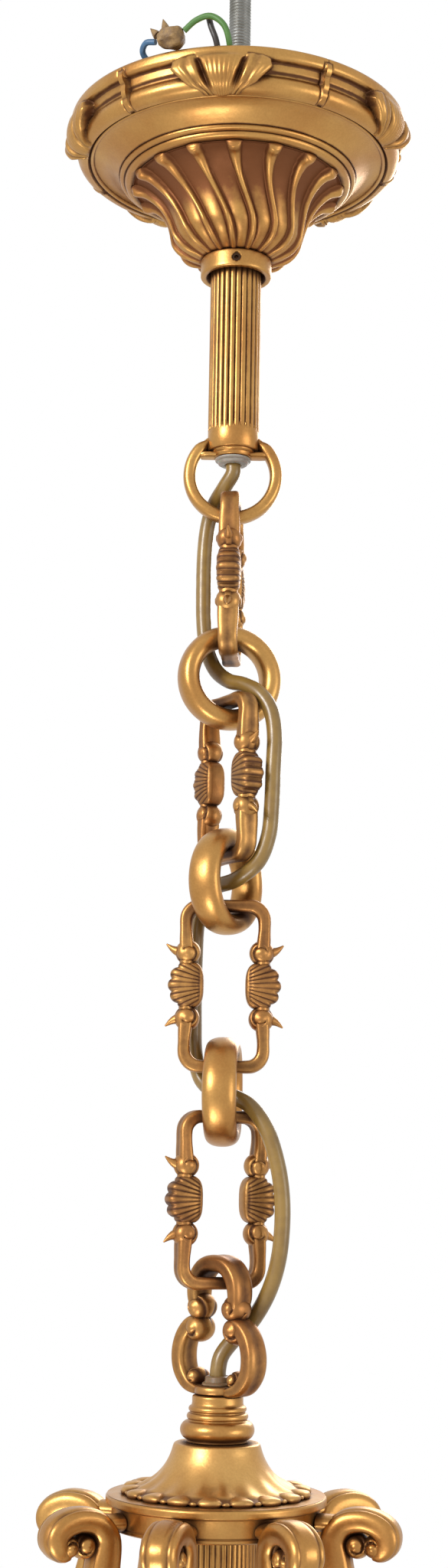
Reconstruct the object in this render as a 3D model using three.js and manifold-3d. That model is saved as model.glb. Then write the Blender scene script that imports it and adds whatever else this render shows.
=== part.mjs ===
// A gilt cage chandelier on a chain of cast shell links: rod, sliding canopy, stem and loop, four
// links and three rings, the rococo bow, and the cage of eight ribs with its four candle lights.
// Millimetres, +Z up. The origin is the centre of the hanging rod's top end, and the front is -Y.
import * as THREE from "three";
import { mergeVertices } from "three/addons/utils/BufferGeometryUtils.js";
import Module from "manifold-3d";

const wasm = await Module();
wasm.setup();

// Fits
const fitGap = 0.3;
const slideGap = 0.9;

// Hanging rod. Depths are counted down from the ceiling plane, the top edge of the canopy.
const rodRadius = 5;
const rodAboveCeiling = 80;

// Stem
const stemTop = 36;
const stemLength = 115.7;
const stemRadius = 11.2;
const stemWall = 1.9;
const reedCount = 26;
const reedDepth = 0.7;
const plainFoot = 7.6;
const bushLength = 11;
const hexHeight = 8;
const hexRadius = 9.8;
const cableHoleRadius = 4.2;
const cableHoleDrop = 16;

// Canopy
const canopyRadius = 75;
const canopyWall = 3;
const rimDepth = 28;
const coveDepth = 16.2;
const claspCount = 6;
const claspRelief = 2.4;
const claspTurn = -8;
const bellHeight = 34.6;
const bellTopRadius = 47;
const rimLap = 2;
const rimFootRadius = bellTopRadius + rimLap;
const bellWaistRadius = 28.2;
const bellWall = 2.4;
const fluteCount = 16;
const fluteRelief = 0.8;
const fluteTwist = 20;
const collarRadius = 15.7;
const collarHeight = 8;
const grubRadius = 2.1;

// Loop under the stem
const bossRadius = 9.6;
const bossHeight = 0.8;
const spigotLength = 9;
const loopInnerRadius = 16.1;
const loopWire = 5.5;
const loopWidth = 7.5;
const crossBarHeight = 3.2;
const crossBarRise = 10;

// Flex and its two bushes
const flexRadius = 3.3;
const bushBoreRadius = flexRadius + fitGap;
const bushNeckRadius = 4.3;
const stemBushFlange = 7.8;
const bowBushFlange = 6.5;
const bushFlangeHeight = 3.7;
const neckInset = 0.4;

// Loose cores and the terminal cap on two of them
const coreRadius = 1.3;
const capLength = 11;
const capMouthRadius = 6;
const capEndRadius = 4.2;
const capTilt = 8;
const capYaw = -16;

// Chain
const linkInnerHeight = 61.3;
const linkHalfWidth = 16.5;
const linkBarRadial = 6;
const linkBarAxial = 9;
const linkCornerRadius = 6.5;
const ballHeight = 14.5;
const ballRadius = 4.9;
const ballAxial = 11.2;
const shellReach = 24.7;
const shellInner = 9.1;
const shellAxial = 14.2;
const shellHeight = 20;
const ringInnerRadius = 13.65;
const ringRadial = 9;
const ringAxial = 14;
const linkYaws = [86, -60, 0, 20];
const ringYaws = [15, 60, 85];
const bowYaw = -45;

// Bow and the turned pieces under it
const archBand = 8.5;
const bowHeight = 47.1;
const bowPadRadius = 9.5;
const bowPadHeight = 3.2;
const tieRodRadius = 4;
const baseHeight = 18.3;
const baseNeckRadius = 10.4;
const baseTorusRadius = 14.9;
const capHeight = 19.6;
const capTopRadius = 17.9;
const capHemRadius = 36.6;
const hemRelief = 4;
const crownRadius = 45;
const crownDiscHeight = 3.9;
const crownBandRadius = 42;
const crownBandHeight = 9.1;
const crownWall = 3.5;

// Cage
const ribCount = 8;
const firstRibAngle = -62;
const columnRadius = 17.5;
const columnWall = 2.5;
const columnLength = 246;
const balusterLength = 90;
const hubRadius = 30;
const hubHeight = 28;
const finialHeight = 46;
const cageRadius = 140;
const ribWidth = 14.5;
const ribThickness = 10;
const ribFootDrop = 18;

// Lights
const ribsPerLight = 2;
const lightRadius = 220;
const lightRise = 98;
const spigotRadius = 4.5;
const armRadius = 4.2;
const panRadius = 26;
const panHeight = 6;
const candleRadius = 12.5;
const candleWall = 1.4;
const candleLength = 70;
const holderRadius = 9;
const holderLength = 66;
const lampRadius = 17.5;
const lampLength = 76;
const lampNeckRadius = 7;
const lampNeckLength = 22;

// Places worked out from the sizes
const stemFoot = stemTop + stemLength;
const stemBore = stemRadius - stemWall;
const collarTop = rimDepth + fitGap + bellHeight + fitGap;
const crossBarTop = stemFoot + fitGap + bossHeight;
const loopCentre = crossBarTop + crossBarRise;
const loopSeat = loopCentre + loopInnerRadius;
const rad = THREE.MathUtils.degToRad;
const level = (depth) => -(rodAboveCeiling + depth);

const gilt = new THREE.MeshStandardMaterial({ color: 0xb88646, roughness: 0.34, metalness: 1 });
const giltDark = new THREE.MeshStandardMaterial({ color: 0x9a6c3c, roughness: 0.42, metalness: 1 });
const steel = new THREE.MeshStandardMaterial({ color: 0x8d9092, roughness: 0.4, metalness: 1 });
const nylon = new THREE.MeshStandardMaterial({ color: 0xc9c4ba, roughness: 0.5, metalness: 0 });
const flexSkin = new THREE.MeshStandardMaterial({ color: 0x8f7640, roughness: 0.45, metalness: 0 });
const earthSkin = new THREE.MeshStandardMaterial({ color: 0x7fa63a, roughness: 0.5, metalness: 0 });
const liveSkin = new THREE.MeshStandardMaterial({ color: 0x2a2523, roughness: 0.5, metalness: 0 });
const neutralSkin = new THREE.MeshStandardMaterial({ color: 0x2f6fb4, roughness: 0.5, metalness: 0 });
const resin = new THREE.MeshStandardMaterial({ color: 0xa07a4c, roughness: 0.55, metalness: 0 });
const ivory = new THREE.MeshStandardMaterial({ color: 0xe9dfc4, roughness: 0.6, metalness: 0 });
const glass = new THREE.MeshStandardMaterial({ color: 0xf2efe6, roughness: 0.1, metalness: 0 });

const root = new THREE.Group();

function add(name, geometry, material, parent = root) {
  const mesh = new THREE.Mesh(geometry, material);
  mesh.name = name;
  parent.add(mesh);
  return mesh;
}

function signedVolume(position, index) {
  const [a, b, c] = [new THREE.Vector3(), new THREE.Vector3(), new THREE.Vector3()];
  let sum = 0;
  for (let i = 0; i < index.count; i += 3) {
    a.fromBufferAttribute(position, index.getX(i));
    b.fromBufferAttribute(position, index.getX(i + 1));
    c.fromBufferAttribute(position, index.getX(i + 2));
    sum += a.dot(b.cross(c));
  }
  return sum;
}

// Turns every face outwards.
function outward(geometry) {
  const index = geometry.index;
  if (signedVolume(geometry.attributes.position, index) < 0)
    for (let i = 0; i < index.count; i += 3) {
      const second = index.getX(i + 1);
      index.setX(i + 1, index.getX(i + 2));
      index.setX(i + 2, second);
    }
  return geometry;
}

// A turned piece. The profile holds [radius, depth, relief]; it starts and ends on the axis, or it
// is closed here. pattern gives the share of the relief at each side, and twist turns a depth.
function turned(profile, sides, { pattern = () => 0, twist = () => 0, turn = 0 } = {}) {
  const line = profile[0][0] > 0 ? [...profile, profile[0]] : profile;
  const points = line.map(([radius, depth]) => new THREE.Vector2(radius, level(depth)));
  const geometry = new THREE.LatheGeometry(points, sides);
  geometry.rotateX(Math.PI / 2);
  for (let i = 0; i <= sides; i++)
    for (let j = 0; j < line.length; j++) {
      const [radius, depth, relief = 0] = line[j];
      const reach = radius + relief * pattern(i % sides);
      const angle = rad(turn + twist(depth)) + ((i % sides) * 2 * Math.PI) / sides;
      const at = i * line.length + j;
      geometry.attributes.position.setXY(at, reach * Math.sin(angle), -reach * Math.cos(angle));
    }
  return outward(geometry);
}

// A bar bent in one plane. Stations hold [across, up, half thickness in the plane, half width].
function bentBar(stations, sides, closed) {
  const count = stations.length;
  const points = [];
  const indices = [];
  for (let i = 0; i < count; i++) {
    const before = stations[closed ? (i + count - 1) % count : Math.max(i - 1, 0)];
    const after = stations[closed ? (i + 1) % count : Math.min(i + 1, count - 1)];
    const run = new THREE.Vector2(after[0] - before[0], after[1] - before[1]).normalize();
    const [x, z, thick, wide] = stations[i];
    for (let k = 0; k < sides; k++) {
      const angle = (k * 2 * Math.PI) / sides;
      const off = thick * Math.cos(angle);
      points.push(x + run.y * off, wide * Math.sin(angle), z - run.x * off);
    }
  }
  const last = closed ? count : count - 1;
  for (let i = 0; i < last; i++)
    for (let k = 0; k < sides; k++) {
      const a = i * sides + k;
      const b = i * sides + ((k + 1) % sides);
      const c = ((i + 1) % count) * sides + k;
      const d = ((i + 1) % count) * sides + ((k + 1) % sides);
      indices.push(a, b, c, b, d, c);
    }
  if (!closed)
    for (let k = 1; k < sides - 1; k++) {
      const end = (count - 1) * sides;
      indices.push(0, k + 1, k, end, end + k, end + k + 1);
    }
  const geometry = new THREE.BufferGeometry();
  geometry.setAttribute("position", new THREE.Float32BufferAttribute(points, 3));
  geometry.setIndex(indices);
  return outward(geometry);
}

function solidOf(geometry) {
  const bare = geometry.clone();
  bare.deleteAttribute("normal");
  bare.deleteAttribute("uv");
  const merged = mergeVertices(bare, 1e-4);
  const vertProperties = merged.attributes.position.array;
  const triVerts = new Uint32Array(merged.index.array);
  return new wasm.Manifold(new wasm.Mesh({ numProp: 3, vertProperties, triVerts }));
}

function geometryOf(solid) {
  const { vertProperties, triVerts } = solid.getMesh();
  const geometry = new THREE.BufferGeometry();
  geometry.setAttribute("position", new THREE.BufferAttribute(vertProperties, 3));
  geometry.setIndex(new THREE.BufferAttribute(triVerts, 1));
  return geometry;
}

function joined(...geometries) {
  return geometries.map(solidOf).reduce((whole, piece) => whole.add(piece));
}

// A round rod or cutter between two depths.
function rodBetween(radius, top, bottom, sides) {
  const geometry = new THREE.CylinderGeometry(radius, radius, bottom - top, sides);
  geometry.rotateX(Math.PI / 2);
  return geometry.translate(0, 0, level((top + bottom) / 2));
}

// A round cutter along -Y at a depth, as far out as reach.
function frontCutter(radius, depth, reach) {
  const geometry = new THREE.CylinderGeometry(radius, radius, reach, 12);
  return geometry.translate(0, -reach / 2, level(depth));
}

// A cord of round section along a list of [x, y, depth] points.
function cord(route, radius, steps) {
  const sides = 8;
  const ring = [];
  for (let k = 0; k < sides; k++) {
    const angle = (k * 2 * Math.PI) / sides;
    ring.push(new THREE.Vector2(radius * Math.cos(angle), radius * Math.sin(angle)));
  }
  const places = route.map(([x, y, depth]) => new THREE.Vector3(x, y, level(depth)));
  const extrudePath = new THREE.CatmullRomCurve3(places);
  return new THREE.ExtrudeGeometry(new THREE.Shape(ring), { steps, bevelEnabled: false, extrudePath });
}

function hangingRod() {
  return rodBetween(rodRadius, -rodAboveCeiling, stemTop + bushLength, 16);
}

// Threaded bush in the top of the stem, with a hexagon head that rests on the tube's end.
function stemBush() {
  const bore = rodRadius + fitGap;
  const head = turned(
    [
      [bore, stemTop - fitGap],
      [hexRadius, stemTop - fitGap],
      [hexRadius, stemTop - hexHeight],
      [bore, stemTop - hexHeight],
    ],
    6,
  );
  const neck = turned(
    [
      [bore, stemTop + bushLength],
      [stemBore - fitGap, stemTop + bushLength],
      [stemBore - fitGap, stemTop - fitGap - 1],
      [bore, stemTop - fitGap - 1],
    ],
    16,
  );
  const hole = rodBetween(bore, stemTop - hexHeight - 1, stemTop + bushLength + 1, 16);
  return geometryOf(joined(head, neck).subtract(solidOf(hole)));
}

function stemTube() {
  const reedEnd = stemFoot - plainFoot;
  const tube = turned(
    [
      [stemRadius - reedDepth / 2, stemFoot],
      [stemRadius - reedDepth / 2, reedEnd + 1.5],
      [stemRadius - reedDepth / 2, reedEnd, reedDepth / 2],
      [stemRadius - reedDepth / 2, stemTop, reedDepth / 2],
      [stemBore, stemTop],
      [stemBore, stemFoot],
    ],
    2 * reedCount,
    { pattern: (i) => (i % 2 ? -1 : 1) },
  );
  const hole = frontCutter(cableHoleRadius, stemTop + cableHoleDrop, 2 * stemRadius);
  return geometryOf(solidOf(tube).subtract(solidOf(hole)));
}

// Boss, cross bar and ring under the stem, bored for the flex.
function stemLoop() {
  const bore = bushNeckRadius + fitGap;
  const barBottom = crossBarTop + crossBarHeight;
  const boss = turned(
    [
      [bore, barBottom],
      [bossRadius - 1.1, barBottom],
      [bossRadius - 1.1, crossBarTop],
      [bossRadius, crossBarTop],
      [bossRadius, stemFoot + fitGap],
      [stemBore - fitGap, stemFoot + fitGap],
      [stemBore - fitGap, stemFoot - spigotLength],
      [bore, stemFoot - spigotLength],
    ],
    20,
  );
  const wireRadius = loopInnerRadius + loopWire / 2;
  const shoulder = Math.acos((stemRadius + fitGap) / (wireRadius + loopWire / 2));
  const steps = 18;
  const arc = [];
  for (let i = 0; i <= steps; i++) {
    const angle = Math.PI - shoulder + ((Math.PI + 2 * shoulder) * i) / steps;
    const across = wireRadius * Math.cos(angle);
    arc.push([across, level(loopCentre) + wireRadius * Math.sin(angle), loopWire / 2, loopWidth / 2]);
  }
  const stemSpace = rodBetween(stemRadius + fitGap, loopCentre - 2 * wireRadius, stemFoot + fitGap, 36);
  const ring = solidOf(bentBar(arc, 8, false)).subtract(solidOf(stemSpace));
  const rise = Math.asin((crossBarRise - crossBarHeight / 2) / wireRadius);
  const halfBar = wireRadius * Math.cos(rise) + loopWire / 4;
  const bar = new THREE.BoxGeometry(2 * halfBar, loopWidth, crossBarHeight);
  bar.translate(0, 0, level(crossBarTop + crossBarHeight / 2));
  const hole = rodBetween(bore, stemFoot - spigotLength - 1, barBottom + 1, 20);
  return geometryOf(joined(boss, bar).add(ring).subtract(solidOf(hole)));
}

// A nylon bush: a neck that stands in a bore, and a flange with a chamfered edge. The flange lies
// below the neck when it faces down, and above it when it faces up.
function flexBush(seat, flangeRadius, facing, neckLength) {
  const out = facing * bushFlangeHeight;
  return turned(
    [
      [bushBoreRadius, seat + out],
      [flangeRadius - 1.2, seat + out],
      [flangeRadius, seat + out * 0.6],
      [flangeRadius, seat],
      [bushNeckRadius, seat],
      [bushNeckRadius, seat - facing * neckLength],
      [bushBoreRadius, seat - facing * neckLength],
    ],
    14,
  );
}

function canopyRim() {
  const inner = canopyRadius - canopyWall;
  const foot = rimFootRadius - 3.6;
  const cove = canopyRadius - 11;
  return turned(
    [
      [foot, rimDepth],
      [rimFootRadius - 0.6, rimDepth],
      [rimFootRadius + 0.8, rimDepth - 2],
      [rimFootRadius + 3.6, coveDepth + 6.2],
      [cove, coveDepth],
      [cove + 1.6, coveDepth - 0.6],
      [canopyRadius - 6, coveDepth - 0.2, claspRelief],
      [canopyRadius - 3.4, coveDepth - 3, claspRelief],
      [canopyRadius - 3.4, coveDepth - 6.6, claspRelief],
      [canopyRadius - 0.8, coveDepth - 11.2, claspRelief / 2],
      [canopyRadius, 0],
      [inner, 0],
      [cove + 3, coveDepth - 4.2],
      [cove - 2, coveDepth - 2.8],
      [rimFootRadius, coveDepth + 3.8],
      [foot, rimDepth - 4.4],
    ],
    8 * claspCount,
    { turn: claspTurn, pattern: (i) => [1, 0.6, 0, 0, 0.4, 0, 0, 0.6][i % 8] },
  );
}

function canopyBell() {
  const top = rimDepth + fitGap;
  const foot = top + bellHeight;
  const hole = stemRadius + slideGap;
  const fall = bellTopRadius - bellWaistRadius;
  const twist = (depth) => fluteTwist * THREE.MathUtils.smoothstep(depth, top, foot);
  return turned(
    [
      [hole, foot],
      [collarRadius + 0.6, foot],
      [bellWaistRadius - 6.4, foot - 1.6, fluteRelief / 2],
      [bellWaistRadius - 2.6, foot - 5.4, fluteRelief],
      [bellWaistRadius - 0.6, foot - 10.4, fluteRelief],
      [bellWaistRadius, foot - 16, fluteRelief],
      [bellWaistRadius + 0.07 * fall, top + 13.4, fluteRelief],
      [bellWaistRadius + 0.2 * fall, top + 8.2, fluteRelief],
      [bellWaistRadius + 0.42 * fall, top + 4.2, fluteRelief],
      [bellWaistRadius + 0.74 * fall, top + 1.4, fluteRelief],
      [bellTopRadius, top, fluteRelief / 2],
      [bellTopRadius - 3.4, top],
      [bellWaistRadius + 0.3 * fall - bellWall, top + 8.6],
      [bellWaistRadius - bellWall - fluteRelief, top + 16.2],
      [bellWaistRadius - bellWall - 2, foot - 8],
      [hole, foot - bellWall],
    ],
    3 * fluteCount,
    { twist, pattern: (i) => (i % 3 ? -0.6 : 1) },
  );
}

function canopyCollar() {
  const bore = stemRadius + slideGap;
  const foot = collarTop + collarHeight;
  const ring = turned(
    [
      [bore + 0.9, foot],
      [collarRadius - 0.6, foot],
      [collarRadius, foot - 0.6],
      [collarRadius, collarTop + 0.5],
      [collarRadius - 0.5, collarTop],
      [bore, collarTop],
      [bore, foot - 2],
      [bore + 0.9, foot - 1.2],
    ],
    24,
  );
  const hole = frontCutter(grubRadius + fitGap, collarTop + collarHeight / 2, 2 * collarRadius);
  return geometryOf(solidOf(ring).subtract(solidOf(hole)));
}

// Grub screw with a hexagon socket, its point against the stem.
function collarScrew() {
  const tip = stemRadius + fitGap;
  const length = collarRadius - tip - 1;
  const screw = new THREE.CylinderGeometry(grubRadius, grubRadius, length, 12);
  screw.translate(0, -tip - length / 2, level(collarTop + collarHeight / 2));
  const socket = new THREE.CylinderGeometry(grubRadius / 2, grubRadius / 2, length, 6);
  socket.translate(0, -tip - length, level(collarTop + collarHeight / 2));
  return geometryOf(solidOf(screw).subtract(solidOf(socket)));
}

// One quarter of a shell link, from the middle of the bow to the middle of the shell.
function linkQuarter() {
  const bar = linkBarRadial / 2;
  const wide = linkBarAxial / 2;
  const top = linkInnerHeight / 2 + bar;
  const flat = linkHalfWidth - linkCornerRadius;
  const bend = top - linkCornerRadius;
  const shellHalf = (shellReach - shellInner) / 2;
  const shellMiddle = (shellReach + shellInner) / 2;
  const halfShell = shellHeight / 2;
  const stations = [[0, top, bar, wide]];
  for (const turn of [0, 30, 60, 90])
    stations.push([
      flat + linkCornerRadius * Math.sin(rad(turn)),
      bend + linkCornerRadius * Math.cos(rad(turn)),
      bar,
      wide,
    ]);
  return [
    ...stations,
    [linkHalfWidth - 0.4, ballHeight + ballRadius, bar + 0.5, wide + 0.2],
    [linkHalfWidth - 0.7, ballHeight, ballRadius, ballAxial / 2],
    [linkHalfWidth, halfShell, bar + 0.4, wide - 0.2],
    [shellMiddle + 0.2, 0.78 * halfShell, 0.74 * shellHalf, 0.42 * shellAxial],
    [shellMiddle + 0.2, 0.42 * halfShell, 0.94 * shellHalf, 0.48 * shellAxial],
    [shellMiddle, 0, shellHalf, shellAxial / 2],
  ];
}

function shellLink() {
  const quarter = linkQuarter();
  const back = [...quarter].reverse().slice(1);
  const half = [...quarter, ...back.map(([x, z, thick, wide]) => [x, -z, thick, wide])];
  const other = half.slice(1, -1).reverse();
  return bentBar([...half, ...other.map(([x, z, thick, wide]) => [-x, z, thick, wide])], 8, true);
}

function chainRing() {
  const half = ringRadial / 2;
  const ring = new THREE.TorusGeometry(ringInnerRadius + half, half, 8, 20);
  ring.scale(1, 1, ringAxial / ringRadial);
  return ring.rotateX(Math.PI / 2);
}

// The rococo bow: an arch of two upper scrolls on two wider lower ones, closed by a bored pad.
// Heights are counted down from the underside of the arch.
function cageBow(archSeat) {
  const half = archBand / 2;
  const foot = bowHeight - bowPadHeight / 2;
  const side = [
    [0, -half, half, 6.2],
    [6, -3.4, half, 6.2],
    [9.9, 0.8, 3.8, 6],
    [11, 6.4, 3.4, 5.7],
    [10.2, 12, 3.4, 5.6],
    [9.6, 17, 3.8, 5.6],
    [13, 20.6, 3.5, 5.4],
    [17, 25, 3.5, 5.4],
    [19.2, 31, 3.5, 5.6],
    [18.6, 37.4, 3.5, 5.6],
    [14.8, 42.8, 3, 5.6],
    [8, foot, bowPadHeight / 2, 5.4],
    [0, foot, bowPadHeight / 2, 5.4],
  ].map(([x, down, thick, wide]) => [x, level(archSeat + down), thick, wide]);
  const other = side.slice(1, -1).reverse();
  const mirrored = other.map(([x, z, thick, wide]) => [-x, z, thick, wide]);
  const loop = bentBar([...side, ...mirrored], 8, true);
  const padTop = archSeat + bowHeight - bowPadHeight;
  const padBottom = archSeat + bowHeight;
  const hole = rodBetween(bushNeckRadius + fitGap, padTop - 1, padBottom + 1, 16);
  const pad = rodBetween(bowPadRadius, padTop, padBottom, 16);
  return geometryOf(joined(loop, pad).subtract(solidOf(hole)));
}

function baseTurning(top) {
  const bore = tieRodRadius + fitGap;
  const foot = top + baseHeight;
  const step = baseNeckRadius + 2.2;
  return turned(
    [
      [bore, foot],
      [baseTorusRadius - 2, foot],
      [baseTorusRadius, foot - 2.6],
      [baseTorusRadius, foot - 5.4],
      [baseTorusRadius - 2, foot - 8],
      [step, foot - 8.8],
      [step, top + 5],
      [baseNeckRadius, top + 4.4],
      [baseNeckRadius, top],
      [bore, top],
    ],
    20,
  );
}

function bellCap(top) {
  const bore = tieRodRadius + fitGap;
  const foot = top + capHeight;
  return turned(
    [
      [capHemRadius - 12, foot],
      [capHemRadius, foot, hemRelief],
      [capHemRadius - 2, foot - 1.8, hemRelief / 2],
      [capHemRadius - 7.7, foot - 2.8],
      [capTopRadius + 5.8, foot - 7.6],
      [capTopRadius + 2.7, foot - 13.2],
      [capTopRadius, top],
      [bore, top],
      [bore, top + 3],
      [capTopRadius - 4, top + 3],
      [capTopRadius + 2.6, foot - 7.6],
    ],
    24,
    { pattern: (i) => (i % 3 ? -0.4 : 1) },
  );
}

function crownDisc(top) {
  const bore = tieRodRadius + fitGap;
  const under = top + crownDiscHeight;
  return turned(
    [
      [crownBandRadius - crownWall, under + crownBandHeight],
      [crownBandRadius, under + crownBandHeight],
      [crownBandRadius, under],
      [crownRadius, under - 0.6],
      [crownRadius, top],
      [bore, top],
      [bore, under],
      [crownBandRadius - crownWall, under],
    ],
    24,
  );
}

// Reeded tube with a turned baluster at its foot.
function centreColumn(top) {
  const foot = top + columnLength;
  const end = foot + balusterLength;
  const bore = tieRodRadius + fitGap;
  const reed = 0.7;
  return turned(
    [
      [bore, end],
      [columnRadius + 4, end],
      [columnRadius - 2, end - 8],
      [columnRadius + 8, end - 30],
      [columnRadius + 3, end - 52],
      [columnRadius - 5, end - 74],
      [columnRadius + 2, end - 82],
      [columnRadius + 2, foot],
      [columnRadius - reed, foot - 3, reed],
      [columnRadius - reed, top, reed],
      [columnRadius - columnWall, top],
      [columnRadius - columnWall, foot],
      [bore, foot + 6],
    ],
    24,
    { pattern: (i) => (i % 2 ? -1 : 1) },
  );
}

function bottomHub(top) {
  const bore = tieRodRadius + fitGap;
  const foot = top + hubHeight;
  const sides = 24;
  return turned(
    [
      [bore, foot],
      [hubRadius - 12, foot],
      [hubRadius - 3, foot - 2],
      [hubRadius, foot - 4],
      [hubRadius, top + 8],
      [hubRadius - 8, top + 4],
      [hubRadius - 8, top],
      [bore, top],
    ],
    sides,
    { turn: firstRibAngle + 180 / sides },
  );
}

// Turned finial with a blind bore for the end of the tie rod.
function bottomFinial(top) {
  const bore = tieRodRadius + fitGap;
  const end = top + finialHeight;
  return turned(
    [
      [0, end],
      [5, end - 2],
      [8.6, end - 9],
      [5, end - 17],
      [9, end - 21],
      [16, end - 29],
      [17.6, end - 36],
      [12, top + 3],
      [11, top],
      [bore, top],
      [bore, top + 15],
      [0, top + 15],
    ],
    16,
  );
}

// A cage rib with the curl at its head, the lug that seats on the crown band, and a candle arm if lit.
function cageRib(bandTop, footDepth, panSeat, lit) {
  const wide = ribWidth / 2;
  const thick = ribThickness / 2;
  const curl = crownBandRadius;
  const fall = footDepth - bandTop;
  const body = [
    [curl + 22.9, -16.2, 2.6, 5.2],
    [curl + 26.2, -14.8, 4.2, 6.6],
    [curl + 28.9, -11, 4.9, wide],
    [curl + 28.5, -6.4, 5.1, wide],
    [curl + 24.8, -2.6, 5, wide],
    [curl + 19, -1, 4.8, wide],
    [curl + 13.2, -2.4, 4.9, wide],
    [curl + 9.2, -8.6, 5.8, wide],
    [curl + 10.2, -17.6, 7.2, wide],
    [curl + 11, -27, 7, wide - 0.4],
    [0.43 * cageRadius, -0.15 * fall, 6.2, wide - 0.8],
    [0.54 * cageRadius, -0.3 * fall, thick + 0.4, wide - 1.2],
    [0.72 * cageRadius, -0.44 * fall, thick, wide - 1.2],
    [0.89 * cageRadius, -0.58 * fall, thick, wide - 1.2],
    [0.985 * cageRadius, -0.71 * fall, thick, wide - 1.2],
    [0.97 * cageRadius, -0.83 * fall, thick, wide - 1.2],
    [0.8 * cageRadius, -0.93 * fall, thick, wide - 1.2],
    [0.5 * cageRadius, -0.99 * fall, thick, wide - 1.2],
    [hubRadius + fitGap, -fall, thick, wide - 1.2],
  ].map(([x, up, t, w]) => [x, level(bandTop) + up, t, w]);
  const shoulder = panSeat + fitGap;
  const armRoot = 0.74 * fall + bandTop;
  const arm = [
    [cageRadius - 2, armRoot, armRadius],
    [cageRadius + 12, armRoot + 12, armRadius],
    [cageRadius + 30, armRoot + 19, armRadius],
    [lightRadius - 30, armRoot + 17, armRadius],
    [lightRadius - 12, armRoot + 6, armRadius],
    [lightRadius - 2, shoulder + 17, armRadius + 0.8],
    [lightRadius, shoulder + 8, armRadius + 3.6],
    [lightRadius, shoulder, armRadius + 5.2],
    [lightRadius, shoulder - 0.02, spigotRadius],
    [lightRadius, panSeat - panHeight - 8, spigotRadius],
  ].map(([x, depth, r]) => [x, level(depth), r, r]);
  const lugReach = 12;
  const lug = new THREE.BoxGeometry(lugReach, ribWidth - 3, crownBandHeight - 2);
  lug.translate(crownBandRadius + fitGap + lugReach / 2, 0, level(bandTop + crownBandHeight / 2));
  const pieces = [bentBar(body, 8, false), lug];
  if (lit) pieces.push(bentBar(arm, 6, false));
  return geometryOf(joined(...pieces));
}

function dripPan(seat) {
  const bore = spigotRadius + fitGap;
  const floor = seat - 2.2;
  return turned(
    [
      [bore, seat],
      [candleRadius, seat],
      [panRadius - 2, seat - panHeight + 1.6],
      [panRadius, seat - panHeight],
      [panRadius - 1.2, seat - panHeight],
      [panRadius - 4, floor - 1.2],
      [candleRadius + 2, floor],
      [bore, floor],
    ],
    12,
  );
}

function candleTube(seat) {
  const inner = candleRadius - candleWall;
  return turned(
    [
      [inner, seat],
      [candleRadius, seat],
      [candleRadius, seat - candleLength],
      [inner, seat - candleLength],
    ],
    12,
  );
}

function lampHolder(seat) {
  const mouth = seat - holderLength;
  const socket = lampNeckRadius + fitGap;
  const bore = spigotRadius + fitGap;
  const web = mouth + lampNeckLength + fitGap;
  return turned(
    [
      [bore, seat],
      [holderRadius, seat],
      [holderRadius, mouth],
      [socket, mouth],
      [socket, web],
      [bore, web],
    ],
    10,
  );
}

function lampBulb(mouth) {
  const tip = mouth - lampLength;
  return turned(
    [
      [0, mouth + lampNeckLength],
      [lampNeckRadius, mouth + lampNeckLength],
      [lampNeckRadius, mouth - 0.6],
      [lampNeckRadius + 3, mouth - 6],
      [lampRadius, mouth - 28],
      [0.72 * lampRadius, mouth - 50],
      [2.4, tip + 6],
      [0, tip],
    ],
    10,
  );
}

function turnedGroup(angle, distance = 0) {
  const turn = new THREE.Group();
  turn.rotation.z = rad(angle - 90);
  const place = new THREE.Group();
  place.position.x = distance;
  turn.add(place);
  root.add(turn);
  return place;
}

add("hanging_rod", hangingRod(), steel);
add("stem_bush", stemBush(), steel);
add("stem_tube", stemTube(), gilt);
add("stem_loop", stemLoop(), gilt);
const loopBushSeat = crossBarTop + crossBarHeight + fitGap;
add("stem_bushing", flexBush(loopBushSeat, stemBushFlange, 1, crossBarHeight - neckInset), nylon);

add("canopy_rim", canopyRim(), gilt);
add("canopy_bell", canopyBell(), giltDark);
add("canopy_collar", canopyCollar(), gilt);
add("collar_screw", collarScrew(), steel);

// The chain hangs piece by piece: each seat is the depth of the bar that the next piece lies on.
let seat = loopSeat;
linkYaws.forEach((yaw, i) => {
  const linkTop = seat - fitGap;
  const link = add(`link_${i + 1}`, shellLink(), giltDark);
  link.position.z = level(linkTop + linkInnerHeight / 2);
  link.rotation.z = rad(yaw);
  seat = linkTop + linkInnerHeight;
  if (i === ringYaws.length) return;
  const ringTop = seat - fitGap;
  const ring = add(`ring_${i + 1}`, chainRing(), gilt);
  ring.position.z = level(ringTop + ringInnerRadius);
  ring.rotation.z = rad(ringYaws[i]);
  seat = ringTop + 2 * ringInnerRadius;
});

const archSeat = seat - fitGap;
add("cage_bow", cageBow(archSeat), giltDark).rotation.z = rad(bowYaw);
const bowBushSeat = archSeat + bowHeight - bowPadHeight - fitGap;
add("bow_bushing", flexBush(bowBushSeat, bowBushFlange, -1, bowPadHeight - neckInset), nylon);
const baseTop = archSeat + bowHeight + fitGap;
add("base_turning", baseTurning(baseTop), gilt);
const capTop = baseTop + baseHeight + fitGap;
add("bell_cap", bellCap(capTop), gilt);
const crownTop = capTop + capHeight + fitGap;
add("crown_disc", crownDisc(crownTop), gilt);
const bandTop = crownTop + crownDiscHeight;
const columnTop = bandTop + fitGap;
add("centre_column", centreColumn(columnTop), gilt);
const hubTop = columnTop + columnLength + balusterLength + fitGap;
add("bottom_hub", bottomHub(hubTop), gilt);
const finialTop = hubTop + hubHeight + fitGap;
add("bottom_finial", bottomFinial(finialTop), gilt);
add("tie_rod", rodBetween(tieRodRadius, baseTop + 6, finialTop + 14, 12), steel);

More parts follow.
